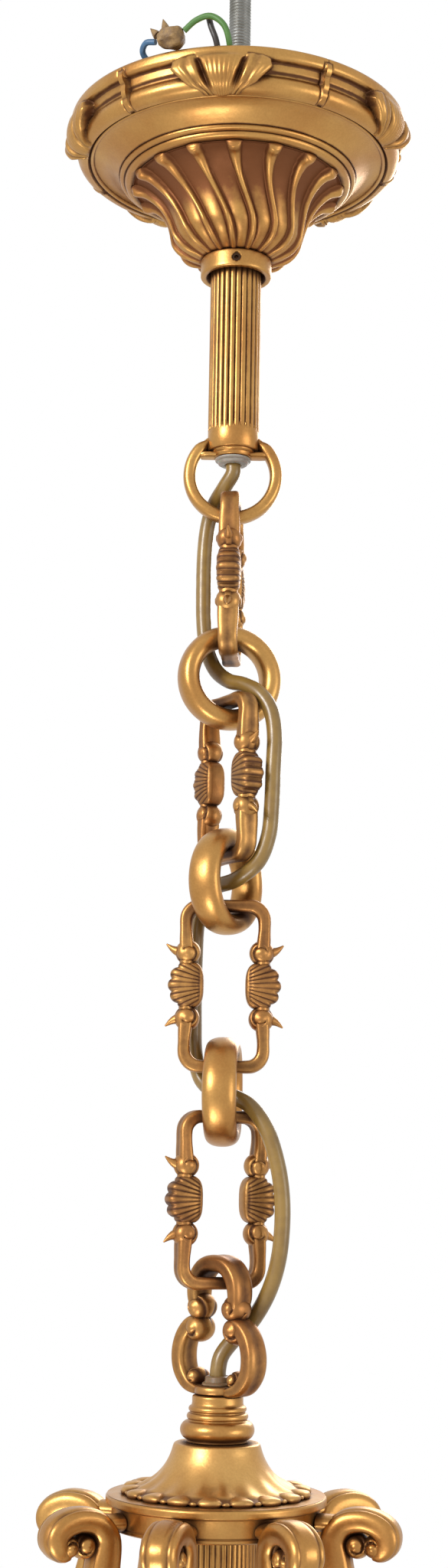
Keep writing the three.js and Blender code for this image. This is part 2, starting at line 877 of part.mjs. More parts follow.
const ribFoot = hubTop + ribFootDrop;
const panSeat = ribFoot - lightRise;
for (let i = 0; i < ribCount; i++) {
  const angle = firstRibAngle + (i * 360) / ribCount;
  const lit = i % ribsPerLight === 0;
  add(`rib_${i + 1}`, cageRib(bandTop, ribFoot, panSeat, lit), gilt, turnedGroup(angle));
  if (!lit) continue;
  const light = 1 + i / ribsPerLight;
  const lightPlace = turnedGroup(angle, lightRadius);
  const candleSeat = panSeat - 2.2 - fitGap;
  const holderMouth = candleSeat - holderLength;
  add(`drip_pan_${light}`, dripPan(panSeat), gilt, lightPlace);
  add(`candle_${light}`, candleTube(candleSeat), ivory, lightPlace);
  add(`holder_${light}`, lampHolder(candleSeat), ivory, lightPlace);
  add(`lamp_${light}`, lampBulb(holderMouth), glass, lightPlace);
}

// The flex, from the bush under the stem, through the three rings, into the bush in the bow.
const flexRoute = [
  [0, 0, 152],
  [0, 0, 157],
  [0, 0, 161.4],
  [-3.6, 2.8, 167],
  [-8, 7.8, 173.6],
  [-10.6, 10.6, 182],
  [-11.8, 11, 194],
  [-12, 11, 210],
  [-11.6, 11, 226],
  [-10, 10.4, 238],
  [-6.2, 8, 247.6],
  [-0.4, 2.8, 253.6],
  [6.2, -2.8, 256.4],
  [12.6, -7.8, 261],
  [17.6, -10.8, 269],
  [19.4, -12.2, 280],
  [19, -12.6, 295],
  [18.6, -11.4, 310],
  [17.4, -10.8, 323],
  [13, -8.8, 334],
  [4, -2.4, 340.6],
  [-4.4, 4.8, 343],
  [-9.6, 9.8, 348],
  [-12, 11.2, 358],
  [-12.6, 11.4, 370],
  [-12.8, 11.4, 385],
  [-12.6, 11.4, 400],
  [-12, 11.2, 413],
  [-9, 9.4, 424],
  [-2.4, 4, 429.6],
  [5, 0, 431.4],
  [12, -3.8, 435.4],
  [18, -6.4, 444],
  [22, -7, 455],
  [24.6, -7, 468],
  [25.2, -6.6, 482],
  [23.8, -5.4, 497],
  [20, -3, 510],
  [13.6, 0.4, 521.6],
  [6.4, 1.4, 529],
  [1.4, 0.5, 535.4],
  [0, 0, 541],
  [0, 0, 545],
  [0, 0, 549],
];
add("flex", cord(flexRoute, flexRadius, 50), flexSkin);

// Loose cores: out of the hole in the stem, through the canopy and over its front edge.
const earthRoute = [
  [1.5, -8, 51],
  [1.5, -14, 51],
  [1.6, -20, 46],
  [1, -28, 35],
  [-0.4, -38, 24.5],
  [-2.4, -49, 15],
  [-3.6, -62, 6],
  [-4.3, -70.5, -2],
  [-6.8, -73.5, -9.4],
  [-12.5, -73, -13.8],
  [-18.6, -71.4, -12.6],
  [-23.5, -69.9, -8.6],
];
const liveRoute = [
  [-1.5, -8, 51],
  [-1.5, -14, 51],
  [-2.2, -20, 45.6],
  [-4.2, -28, 34],
  [-6, -38, 23.5],
  [-7.4, -52, 12],
  [-8.4, -63, 2.4],
  [-10, -68.4, -5],
  [-12.2, -69, -11],
  [-13.4, -69, -15.8],
];
const neutralRoute = [
  [0, -8, 53.9],
  [0, -14, 53.9],
  [-2.8, -17.4, 52.2],
  [-8.4, -19.4, 42.6],
  [-12.4, -24.6, 33.6],
  [-15.4, -35, 23],
  [-25, -46, 12],
  [-36, -55, 1],
  [-41, -58.5, -4],
  [-39.8, -62.2, -6.9],
  [-35.6, -64.5, -6.3],
];
add("wire_earth", cord(earthRoute, coreRadius, 18), earthSkin);
add("wire_live", cord(liveRoute, coreRadius, 16), liveSkin);
add("wire_neutral", cord(neutralRoute, coreRadius, 16), neutralSkin);

// Terminal cap that the earth and neutral cores end in.
const capPiece = new THREE.CylinderGeometry(capEndRadius, capMouthRadius, capLength, 10);
capPiece.rotateZ(Math.PI / 2 - rad(capTilt));
const connector = add("wire_connector", capPiece, resin);
connector.position.set(-29.6, -67.2, level(-6.3));
connector.rotation.z = rad(capYaw);

export default root;
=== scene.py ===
"""Looks of the gilt cage chandelier: cast and turned gilt bronze, steel rod, flex, candles and lamps.

Shapes are written in millimetres and turned into metres when a piece is made. Depths are counted down
from the ceiling plane, which is the top edge of the canopy. Azimuths are degrees from the front (-Y)
towards +X. A tone goes with every point of a surface: 1 on a ridge, 0 in a recess, where the gilt
materials paint patina brown and painted shade.
"""

import math

import bmesh
import bpy
import numpy as np
from mathutils import Matrix, Vector


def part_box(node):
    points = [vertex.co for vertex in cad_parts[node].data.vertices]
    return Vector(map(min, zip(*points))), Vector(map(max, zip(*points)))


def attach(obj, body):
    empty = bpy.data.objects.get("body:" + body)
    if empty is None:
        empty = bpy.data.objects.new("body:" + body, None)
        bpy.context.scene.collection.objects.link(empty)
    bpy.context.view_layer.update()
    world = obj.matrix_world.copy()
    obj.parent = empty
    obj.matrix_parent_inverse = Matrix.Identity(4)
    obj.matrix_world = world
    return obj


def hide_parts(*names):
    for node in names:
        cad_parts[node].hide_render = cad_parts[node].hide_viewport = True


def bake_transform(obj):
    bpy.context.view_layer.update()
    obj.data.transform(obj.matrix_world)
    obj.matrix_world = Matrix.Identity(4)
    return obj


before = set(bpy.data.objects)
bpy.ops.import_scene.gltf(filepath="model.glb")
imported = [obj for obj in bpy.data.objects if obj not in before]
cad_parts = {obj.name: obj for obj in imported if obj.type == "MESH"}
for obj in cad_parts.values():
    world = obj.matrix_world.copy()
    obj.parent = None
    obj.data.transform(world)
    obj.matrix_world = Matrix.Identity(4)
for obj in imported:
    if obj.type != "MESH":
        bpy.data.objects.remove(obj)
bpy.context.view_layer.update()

MM = 0.001
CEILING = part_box("canopy_rim")[1][2] / MM

# Camera, worked out from the photograph's perspective
PHOTO_HEIGHT = 2048
FOCAL_PIXELS = 2800
SENSOR = 36.0
CAMERA_PLACE = (-1.6, -900, -538)
CAMERA_PITCH = 10
CAMERA_ROLL = 0.95

SKY_STRENGTH = 0.55

scene = bpy.context.scene


def level(depth):
    """Height of a place at this depth."""
    return CEILING - depth


def ends(node):
    """Depths of a node's highest and lowest points."""
    low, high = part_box(node)
    return CEILING - high[2] / MM, CEILING - low[2] / MM


def top(node):
    return ends(node)[0]


def foot(node):
    return ends(node)[1]


def middle(node):
    return sum(ends(node)) / 2


# Materials


class Nodes:
    """The nodes of a material or a world, with short calls for the ones used here."""

    def __init__(self, name, owners=bpy.data.materials, shader="Principled BSDF"):
        self.owner = owners.new(name)
        self.owner.use_nodes = True
        self.tree = self.owner.node_tree
        self.shader = self.tree.nodes[shader]

    def new(self, kind, inputs=(), **settings):
        """The outputs of a node with these settings, and with these values or links at its inputs."""
        node = self.tree.nodes.new(kind)
        for key, value in settings.items():
            setattr(node, key, value)
        for key, value in dict(inputs).items():
            self.put(node.inputs[key], value)
        return node.outputs

    def put(self, socket, value):
        if isinstance(value, bpy.types.NodeSocket):
            self.tree.links.new(value, socket)
        else:
            socket.default_value = (*value, 1.0) if isinstance(value, tuple) else value

    def place(self):
        return self.new("ShaderNodeTexCoord")["Object"]

    def noise(self, scale, detail=4.0, rough=0.55, stretch=(1, 1, 1)):
        inputs = {"Vector": self.place(), "Scale": Vector(stretch)}
        inputs = {"Vector": self.new("ShaderNodeMapping", inputs)["Vector"], "Scale": scale}
        inputs |= {"Detail": detail, "Roughness": rough}
        return self.new("ShaderNodeTexNoise", inputs)["Fac"]

    def attribute(self, name):
        return self.new("ShaderNodeAttribute", attribute_name=name)["Fac"]

    def occlusion(self, distance):
        return self.new("ShaderNodeAmbientOcclusion", {"Distance": distance * MM}, samples=6)["AO"]

    def ramp(self, value, low=0.3, high=0.7, out_low=0.0, out_high=1.0):
        inputs = {"Value": value, "From Min": low, "From Max": high, "To Min": out_low, "To Max": out_high}
        return self.new("ShaderNodeMapRange", inputs, clamp=True)["Result"]

    def math(self, operation, first, second):
        return self.new("ShaderNodeMath", {0: first, 1: second}, operation=operation)[0]

    def blend(self, first, share, second):
        """A share of the first value, and the rest of the second."""
        rest = self.math("MULTIPLY", second, 1 - share)
        return self.math("ADD", self.math("MULTIPLY", first, share), rest)

    def mix(self, share, first, second):
        return self.new("ShaderNodeMix", {0: share, 6: first, 7: second}, data_type="RGBA")[2]

    def bump(self, height, distance, strength):
        inputs = {"Strength": strength, "Distance": distance * MM, "Height": height}
        self.set(Normal=self.new("ShaderNodeBump", inputs)["Normal"])

    def set(self, **values):
        for key, value in values.items():
            self.put(self.shader.inputs[key.replace("_", " ")], value)
        return self.owner

    def skin(self, share, light, dark, fine, relief, rough, **values):
        """A colour between two tones, and a fine noise for the relief and the roughness."""
        self.bump(fine, *relief)
        color = self.mix(share, light, dark)
        return self.set(Base_Color=color, Roughness=self.ramp(fine, 0.3, 0.7, *rough), **values)


def gilt_bronze(name, bright, warm, patina, rough, gold_from=0.15, gold_to=0.8):
    """Cast bronze, gilt and browned: gold on the ridges, warm brown in the recesses, which is patina and
    painted shade.
    """
    n = Nodes(name)
    clouds = n.noise(30)
    patches = n.noise(130, 6.0, 0.62)
    grain = n.noise(1100, 3.0)
    # Painted shade: the tone times the ambient occlusion darkens the recesses towards the patina brown, as
    # well as marking real patina
    clear_of_patina_and_shade = n.math("MULTIPLY", n.attribute("tone"), n.ramp(n.occlusion(6), 0.3, 0.85))
    clear_with_blotches = n.math("ADD", clear_of_patina_and_shade, n.ramp(patches, 0.3, 0.7, -0.22, 0.2))
    gold_share = n.ramp(clear_with_blotches, gold_from, gold_to)
    gold = n.mix(n.ramp(clouds, 0.38, 0.66), bright, warm)
    freckled = n.mix(n.ramp(grain, 0.35, 0.72, 0.14, 0.0), gold, patina)
    n.bump(n.blend(patches, 0.65, grain), 0.22, 0.45)
    spread = n.ramp(patches, 0.3, 0.7, rough - 0.05, rough + 0.08)
    spread = n.math("ADD", spread, n.ramp(gold_share, 0, 1, 0.2, 0))
    color = n.mix(gold_share, patina, freckled)
    return n.set(Base_Color=color, Metallic=n.ramp(gold_share, 0, 1, 0.7, 1.0), Roughness=spread)


def zinc_steel(name):
    n = Nodes(name)
    streaks = n.noise(260, 5.0, 0.6, (1, 1, 0.25))
    tarnish = n.ramp(n.noise(70, 5.0, 0.6), 0.35, 0.7)
    return n.skin(tarnish, (0.25, 0.25, 0.235), (0.13, 0.125, 0.1), streaks, (0.08, 0.4), (0.34, 0.55),
                  Metallic=0.9)


def nylon_skin(name, light, dark):
    n = Nodes(name)
    haze = n.noise(240)
    return n.skin(n.ramp(haze), light, dark, haze, (0.1, 0.3), (0.3, 0.5), IOR=1.5,
                  Transmission_Weight=0.35, Subsurface_Weight=0.3, Subsurface_Scale=0.003)


def plastic_skin(name, light, dark, rough, scale=420, coat=0.0):
    """Cable sheath or moulded plastic with a faint mottle."""
    n = Nodes(name)
    mottle = n.noise(scale)
    share = n.ramp(n.blend(mottle, 0.4, n.noise(45, 3.0)), 0.4, 0.62)
    return n.skin(share, light, dark, mottle, (0.08, 0.35), (rough - 0.06, rough + 0.08), IOR=1.5,
                  Coat_Weight=coat, Coat_Roughness=0.2)


def striped_skin(name, ground, stripe):
    """Sheath of the earth core, with a stripe along it."""
    n = Nodes(name)
    share = n.ramp(n.attribute("tone"), 0.45, 0.55)
    return n.skin(share, ground, stripe, n.noise(500, 3.0), (0.06, 0.3), (0.36, 0.5), IOR=1.5)


def crumpled_resin(name):
    n = Nodes(name)
    flakes = n.noise(300, 7.0, 0.7)
    share = n.ramp(flakes, 0.35, 0.65)
    dark, light = (0.11, 0.055, 0.018), (0.33, 0.20, 0.075)
    return n.skin(share, dark, light, flakes, (0.5, 0.8), (0.42, 0.68), IOR=1.5)


def candle_ivory(name):
    n = Nodes(name)
    cloud = n.noise(60)
    fibre = n.noise(420, 4.0, 0.6, (1, 1, 0.2))
    n.bump(n.blend(cloud, 0.6, fibre), 0.25, 0.4)
    color = n.mix(n.ramp(cloud, 0.35, 0.68), (0.83, 0.75, 0.58), (0.74, 0.64, 0.45))
    return n.set(Base_Color=color, Roughness=n.ramp(fibre, 0.3, 0.7, 0.38, 0.55), IOR=1.45,
                 Subsurface_Weight=0.25, Subsurface_Scale=0.004)


def lamp_glass(name):
    n = Nodes(name)
    rough = n.ramp(n.noise(90), 0.35, 0.7, 0.015, 0.09)
    return n.set(Base_Color=(0.98, 0.97, 0.94), IOR=1.45, Transmission_Weight=1.0, Roughness=rough)


def plain_metal(name, color, rough):
    n = Nodes(name)
    streaks = n.noise(340, 4.0, 0.6, (1, 1, 0.3))
    dim = tuple(0.72 * c for c in color)
    rough_range = (rough - 0.08, rough + 0.1)
    return n.skin(n.ramp(streaks), color, dim, streaks, (0.05, 0.4), rough_range, Metallic=1.0)


# Each skin is a material and the slot that it fills
GILT = {
    "gilt": ((0.51, 0.28, 0.086), (0.42, 0.20, 0.058), (0.09, 0.032, 0.009), 0.33),
    "gilt_patina": ((0.45, 0.235, 0.075), (0.35, 0.155, 0.05), (0.075, 0.027, 0.009), 0.38, 0.25, 0.95),
    "gilt_bell": ((0.50, 0.275, 0.082), (0.42, 0.19, 0.055), (0.17, 0.058, 0.017), 0.36, 0.3, 0.95),
    "gilt_cap": ((0.60, 0.35, 0.118), (0.51, 0.27, 0.085), (0.13, 0.05, 0.014), 0.36),
}
gilts = [gilt_bronze(name, *values) for name, values in GILT.items()]
GOLD, BROWNED, RED_BROWN, BRIGHT_GOLD = zip(gilts, ("gilt", "gilt_patina", "gilt_patina", "gilt"))
STEEL = zinc_steel("steel"), "steel"
NYLON = nylon_skin("nylon", (0.52, 0.47, 0.40), (0.34, 0.29, 0.23)), "nylon"
AMBER_NYLON = nylon_skin("nylon_amber", (0.33, 0.20, 0.095), (0.21, 0.12, 0.055)), "nylon"
FLEX_SKIN = plastic_skin("flex_pvc", (0.25, 0.148, 0.032), (0.18, 0.1, 0.02), 0.36, 260, 0.25), "flex_pvc"
EARTH_SKIN = striped_skin("wire_green_yellow", (0.07, 0.17, 0.035), (0.42, 0.40, 0.06)), "wire_green_yellow"
LIVE_SKIN = plastic_skin("wire_black", (0.022, 0.020, 0.020), (0.045, 0.036, 0.032), 0.42), "wire_black"
NEUTRAL_SKIN = plastic_skin("wire_blue", (0.05, 0.13, 0.24), (0.03, 0.08, 0.16), 0.42), "wire_blue"
RESIN = crumpled_resin("resin"), "resin"
IVORY = candle_ivory("ivory"), "ivory"
HOLDER_SKIN = plastic_skin("holder_plastic", (0.70, 0.66, 0.57), (0.62, 0.57, 0.47), 0.45), "holder_plastic"
GLASS = lamp_glass("lamp_glass"), "lamp_glass"
LAMP_BRASS = plain_metal("lamp_cap", (0.72, 0.55, 0.25), 0.3), "gilt"
RUBBER = plastic_skin("grommet_rubber", (0.02, 0.02, 0.02), (0.03, 0.03, 0.03), 0.6), "wire_black"
GRUB_BLACK = plain_metal("grub_screw", (0.06, 0.035, 0.022), 0.5), "steel"
FILAMENT = plain_metal("filament", (0.45, 0.42, 0.4), 0.4), "steel"


# Shapes


class Form:
    """The surfaces of one piece, in millimetres, with a tone at every point."""

    def __init__(self):
        self.points = []
        self.tones = []
        self.faces = []
        self.count = 0

    def grid(self, points, tones=1.0, around=True, closed=False, capped=True):
        """points[i][j]: rings i along the surface, j round it."""
        points = np.asarray(points, float)
        rows, cols = points.shape[:2]
        i = np.arange(rows if closed else rows - 1)[:, None]
        j = np.arange(cols if around else cols - 1)[None, :]
        corners = [(i, j), (i, j + 1), (i + 1, j + 1), (i + 1, j)]
        quads = [self.count + (a % rows) * cols + b % cols for a, b in corners]
        self.faces += np.stack(quads, -1).reshape(-1, 4).tolist()
        if around and capped and not closed:
            for row in (0, rows - 1):
                self.faces.append([self.count + row * cols + k for k in range(cols)])
        self.points.append(points.reshape(-1, 3))
        self.tones.append(np.broadcast_to(tones, (rows, cols)).reshape(-1))
        self.count += rows * cols
        return self

    def add(self, other, turn=0.0, place=(0, 0, 0), flip=False):
        """A copy of another form, mirrored across X, turned about Z in degrees and moved."""
        a = math.radians(turn)
        spin = np.array([[math.cos(a), math.sin(a), 0], [-math.sin(a), math.cos(a), 0], [0, 0, 1]])
        if flip:
            spin = np.diag([-1, 1, 1]) @ spin
        for points, tones in zip(other.points, other.tones):
            self.points.append(points @ spin + np.asarray(place, float))
            self.tones.append(tones)
        self.faces += [[self.count + k for k in face] for face in other.faces]
        self.count += other.count
        return self


WELD = 0.002


def piece(name, form, skin, body, *nodes, sharp=42):
    """One object from a form: it rides on a body and stands for these CAD nodes."""
    material, slot = skin
    mesh = bpy.data.meshes.new(name)
    mesh.from_pydata((np.concatenate(form.points) * MM).tolist(), [], form.faces)
    tones = mesh.attributes.new("tone", "FLOAT", "POINT")
    tones.data.foreach_set("value", np.concatenate(form.tones).astype(np.float32))
    work = bmesh.new()
    work.from_mesh(mesh)
    bmesh.ops.remove_doubles(work, verts=work.verts, dist=WELD * MM)
    bmesh.ops.recalc_face_normals(work, faces=work.faces)
    work.to_mesh(mesh)
    work.free()
    mesh.shade_smooth()
    if sharp:
        mesh.set_sharp_from_angle(angle=math.radians(sharp))
    mesh.materials.append(material)
    obj = bpy.data.objects.new(name, mesh)
    scene.collection.objects.link(obj)
    if body:
        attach(obj, body)
    if nodes:
        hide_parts(*nodes)
    return obj


def smooth(points, steps, closed=False):
    """A Catmull-Rom curve through points, with this many steps to each span."""
    p = np.asarray(points, float)
    if closed:
        p = np.vstack([p[-1], p, p[0], p[1]])
    else:
        p = np.vstack([2 * p[0] - p[1], p, 2 * p[-1] - p[-2]])
    t = (np.arange(steps) / steps)[:, None]
    spans = [
        0.5 * (2 * b + (c - a) * t + (2 * a - 5 * b + 4 * c - d) * t**2 + (3 * b - a - 3 * c + d) * t**3)
        for a, b, c, d in zip(p, p[1:], p[2:], p[3:])
    ]
    return np.vstack(spans if closed else [*spans, p[-2][None]])


def bell_curve(x, width):
    return np.exp(-((x / width) ** 2))


def unit(x):
    return np.clip(x, 0, 1)


def powered(x, power):
    """A power of the size of x, with the sign of x."""
    return np.sign(x) * np.abs(x) ** power


def circle(count):
    return np.linspace(0, 2 * math.pi, count, endpoint=False)


def reeded(angle, count):
    """Height between 0 and 1 of round reeds side by side, for an angle in degrees."""
    return np.sqrt(unit(1 - (angle * count / 360 % 1.0 * 2 - 1) ** 2))


def lobes(angle, count):
    """Rounded waves between 0 and 1 round an axis, for an angle in degrees."""
    return np.abs(np.sin(np.radians(angle) * count / 2))


def ease(x, low, high):
    """Smooth step from 0 at low to 1 at high."""
    t = unit((x - low) / (high - low))
    return t * t * (3 - 2 * t)


def arc(radius, depth, size, start, end, steps=9):
    """Points of a round moulding: degrees from straight out, turning down."""
    a = np.radians(np.linspace(start, end, steps))
    return np.stack([radius + size * np.cos(a), depth + size * np.sin(a)], -1)


def profile(*stretches):
    return np.vstack([np.atleast_2d(part) for part in stretches])


def below(depth, *stretches):
    """A profile whose depths are counted from this one."""
    return profile(*stretches) + (0, depth)


def run_lengths(line):
    """How far along a line each of its points is."""
    return np.concatenate([[0], np.cumsum(np.hypot(*np.diff(line, axis=0).T))])


def resampled(line, rows):
    """The same line with evenly spaced points."""
    length = run_lengths(line)
    places = np.linspace(0, length[-1], rows)
    return np.stack([np.interp(places, length, line[:, k]) for k in (0, 1)], -1)


def outward(line):
    """Unit normals of a line of [radius, depth] that runs down the outside."""
    run = np.gradient(line, axis=0)
    return np.stack([run[:, 1], -run[:, 0]], -1) / np.maximum(np.hypot(*run.T), 1e-9)[:, None]


def lifted(line, lift):
    """Radius and depth of a line that is moved out along its normals by a lift at each angle."""
    return [line[:, k : k + 1] + outward(line)[:, k : k + 1] * lift for k in (0, 1)]


def turned_points(radius, depth, turn, centre=(0, 0)):
    x, y = centre
    return np.stack([x + radius * np.sin(turn), y - radius * np.cos(turn), level(depth)], -1)


def lathe(form, outer, sides, inner=None, relief=None, twist=None, centre=(0, 0)):
    """Turned surface of an outer line of [radius, depth], closed by an inner one or by the axis.

    relief(angle, along, depth) gives the lift along the normal and the tone of the outer line.
    """
    line = outer if inner is None else profile(outer, inner)
    length = run_lengths(outer)
    angle = np.linspace(0, 360, sides, endpoint=False)[None, :]
    lift = np.zeros((len(line), sides))
    tones = np.ones((len(line), sides))
    rows = len(outer)
    if relief:
        lift[:rows], tones[:rows] = relief(angle, (length / length[-1])[:, None], outer[:, 1:2])
    turn = np.radians(angle + (twist(line[:, 1:]) if twist else 0))
    points = turned_points(*lifted(line, lift), turn, centre)
    return form.grid(points, tones, closed=inner is not None, capped=False)


def turned(name, node, body, outer, sides, inner, relief=None, sharp=50):
    """A gilt piece of one turned surface."""
    piece(name, lathe(Form(), outer, sides, inner, relief), GOLD, body, node, sharp=sharp)


def round_section(angle, along):
    return np.cos(angle), np.sin(angle), np.ones_like(angle * along)


def grooved_section(depth, width):
    """A round section with a groove along the middle of its inner and outer face."""

    def section(angle, along):
        across = np.sin(angle)
        dent = bell_curve(across, width)
        return np.cos(angle) * (1 - depth * dent), across, 1 - 0.75 * dent * np.ones_like(along)

    return section


def swept(form, stations, steps, sides, section=round_section, closed=False):
    """A bar bent in the XZ plane. Stations hold [across, up, half thickness, half width]."""
    s = smooth(stations, steps, closed) if steps > 1 else np.asarray(stations, float)
    if closed:
        run = (np.roll(s, -1, 0) - np.roll(s, 1, 0))[:, :2]
    else:
        run = np.gradient(s[:, :2], axis=0)
    run /= np.maximum(np.hypot(run[:, 0], run[:, 1]), 1e-9)[:, None]
    angle = circle(sides)[None, :]
    along = np.linspace(0, 1, len(s))[:, None]
    off, side, tones = section(angle, along)
    off = off * s[:, 2:3]
    x = s[:, :1] + run[:, 1:] * off
    z = s[:, 1:2] - run[:, :1] * off
    y = side * s[:, 3:4] * np.ones_like(x)
    return form.grid(np.stack([x, y, z], -1), tones, closed=closed)


def globe(sides, rings):
    """Angles round an axis and tilts towards its ends, for the points of a ball."""
    return circle(sides)[None, :], np.linspace(-math.pi / 2, math.pi / 2, rings)[:, None]


def volute(form, x, z, radius, half_width, turns=1.7, start=0.0):
    """A ball with a spiral groove round a raised eye on both faces."""
    angle, tilt = globe(44, 30)
    reach = np.cos(tilt) ** 0.75
    phase = (reach * turns - angle / (2 * math.pi) + start) % 1.0
    cut = bell_curve(np.minimum(phase, 1 - phase), 0.12) * ease(np.abs(np.sin(tilt)), 0.1, 0.4)
    cut = cut * ease(reach, 0.32, 0.46)
    spread = 1 - 0.22 * cut + 0.07 * (1 - ease(reach, 0.2, 0.34))
    out = radius * reach * (1 - 0.06 * cut)
    across = half_width * np.sin(tilt) * spread * np.ones_like(angle)
    points = np.stack([x + out * np.cos(angle), across, z + out * np.sin(angle)], -1)
    return form.grid(points, 1 - 0.85 * cut)


def ball(form, centre, radii):
    angle, tilt = globe(20, 12)
    across = np.cos(tilt) * np.cos(angle)
    away = np.cos(tilt) * np.sin(angle)
    up = np.sin(tilt) * np.ones_like(angle)
    return form.grid(np.asarray(centre) + np.asarray(radii) * np.stack([across, away, up], -1))


def hung(stations, depth=0.0):
    """Stations with heights, from ones whose second value is a depth below this one."""
    return [(x, level(depth + down), *sizes) for x, down, *sizes in stations]


# Camera and light


def set_camera():
    camera = bpy.data.objects.new("camera", bpy.data.cameras.new("camera"))
    scene.collection.objects.link(camera)
    camera.data.sensor_fit = "AUTO"
    camera.data.sensor_width = SENSOR
    camera.data.lens = FOCAL_PIXELS / PHOTO_HEIGHT * SENSOR
    camera.data.clip_start = 0.02
    pitch = Matrix.Rotation(math.radians(90 + CAMERA_PITCH), 4, "X")
    roll = Matrix.Rotation(math.radians(CAMERA_ROLL), 4, "Z")
    camera.matrix_world = Matrix.Translation([c * MM for c in CAMERA_PLACE]) @ pitch @ roll
    scene.camera = camera


def looking(place, aim):
    """Matrix of a lamp at a place that shines at another."""
    toward = Vector(place) - Vector(aim)
    return Matrix.Translation(place) @ toward.to_track_quat("Z", "Y").to_matrix().to_4x4()


def set_light():
    """White for the camera, mirrors and glass, a dimmer sky for everything else, and four lamps."""
    scene.view_settings.view_transform = "Standard"
    sky = Nodes("studio", bpy.data.worlds, "Background")
    scene.world = sky.owner
    rays = sky.new("ShaderNodeLightPath")
    seen = sky.math("MAXIMUM", rays["Is Camera Ray"], rays["Is Transmission Ray"])
    white = sky.math("MAXIMUM", seen, rays["Is Glossy Ray"])
    sky.set(Color=(1, 1, 1), Strength=sky.ramp(white, 0, 1, SKY_STRENGTH, 1))
    # Place, aim and width in metres, power in watts
    lamps = {
        "key": ((-1.5, -1.5, 0.35), (0, 0, -0.35), 0.8, 42),
        "fill": ((1.9, -1.1, -0.5), (0, 0, -0.4), 1.2, 12),
        "back": ((0.7, 1.8, 0.4), (0, 0, -0.4), 1.2, 18),
        "low": ((-0.3, -0.42, -1.15), (0, 0, -0.1), 0.28, 3),
    }
    for name, (place, aim, size, power) in lamps.items():
        lamp = bpy.data.objects.new(name, bpy.data.lights.new(name, "AREA"))
        scene.collection.objects.link(lamp)
        lamp.data.shape = "DISK"
        lamp.data.size = size
        lamp.data.energy = power
        lamp.matrix_world = looking(place, aim)


FLOOR_REACH = 1700
FLOOR_DROP = 230


def set_floor():
    """Pale floor that fades into the white surroundings away from the object."""
    n = Nodes("floor")
    away = n.new("ShaderNodeVectorMath", {0: n.place()}, operation="LENGTH")["Value"]
    color = n.mix(n.ramp(n.noise(6, 3.0)), (0.80, 0.80, 0.79), (0.77, 0.77, 0.76))
    fade = n.ramp(away, 0.8, 1.6, 1.0, 0.0)
    material = n.set(Base_Color=color, Roughness=0.75, Alpha=fade)
    height = level(foot("bottom_finial") + FLOOR_DROP)
    reach = FLOOR_REACH
    corners = [[(x, y, height) for x in (-reach, reach)] for y in (-reach, reach)]
    floor = piece("floor", Form().grid(corners, around=False), (material, "steel"), None, sharp=0)


# Flex and loose cores


def tube_rings(centres, radius, sides):
    """Rings round a line, turned along it without twist."""
    centres = np.asarray(centres, float)
    run = np.gradient(centres, axis=0)
    run /= np.linalg.norm(run, axis=1)[:, None]
    across = np.cross(run[0], (0.0, 1.0, 0.0) if abs(run[0][1]) < 0.9 else (1.0, 0.0, 0.0))
    angle = circle(sides)
    rings = []
    for centre, ahead in zip(centres, run):
        across = across - ahead * np.dot(across, ahead)
        across /= np.linalg.norm(across)
        other = np.cross(ahead, across)
        rings.append(centre + radius * (np.outer(np.cos(angle), across) + np.outer(np.sin(angle), other)))
    return np.array(rings)


def route_line(route, steps):
    places = np.asarray(route, float).copy()
    places[:, 2] = level(places[:, 2])
    return smooth(places, steps)


FLEX_RADIUS = 3.3
FLEX_ROUTE = [
    (0, 0, 152), (0, 0, 157), (0, 0, 161.4), (-3.6, 2.8, 167), (-8, 7.8, 173.6), (-10.6, 10.6, 182),
    (-11.8, 11, 194), (-12, 11, 210), (-11.6, 11, 226), (-10, 10.4, 238), (-6.2, 8, 247.6),
    (-0.4, 2.8, 253.6), (6.2, -2.8, 256.4), (12.6, -7.8, 261), (17.6, -10.8, 269), (19.4, -12.2, 280),
    (19, -12.6, 295), (18.6, -11.4, 310), (17.4, -10.8, 323), (13, -8.8, 334), (4, -2.4, 340.6),
    (-4.4, 4.8, 343), (-9.6, 9.8, 348), (-12, 11.2, 358), (-12.6, 11.4, 370), (-12.8, 11.4, 385),
    (-12.6, 11.4, 400), (-12, 11.2, 413), (-9, 9.4, 424), (-2.4, 4, 429.6), (5, 0, 431.4),
    (12, -3.8, 435.4), (18, -6.4, 444), (22, -7, 455), (24.6, -7, 468), (25.2, -6.6, 482),
    (23.8, -5.4, 497), (20, -3, 510), (13.6, 0.4, 521.6), (6.4, 1.4, 529), (1.4, 0.5, 535.4), (0, 0, 541),
    (0, 0, 545), (0, 0, 549),
]
CHAIN = ["suspension", "link_a", "ring_a", "link_b", "ring_b", "link_c", "ring_c", "link_d", "cage"]
CHAIN_NODES = ["link_1", "ring_1", "link_2", "ring_2", "link_3", "ring_3", "link_4"]


def flex_pieces():
    """The flex in eight lengths, one across each joint of the chain."""
    line = route_line(FLEX_ROUTE, 8)
    rings = tube_rings(line, FLEX_RADIUS, 20)
    cuts = [int(np.argmin(np.abs(line[:, 2] - level(middle(node))))) for node in CHAIN_NODES]
    for i, (start, end) in enumerate(zip([0, *cuts], [*cuts, len(line) - 1])):
        stands_for = ["flex"] if i == 0 else []
        form = Form().grid(rings[start : end + 1])
        part = piece(f"flex_{i + 1}", form, FLEX_SKIN, None, *stands_for, sharp=60)
        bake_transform(part)


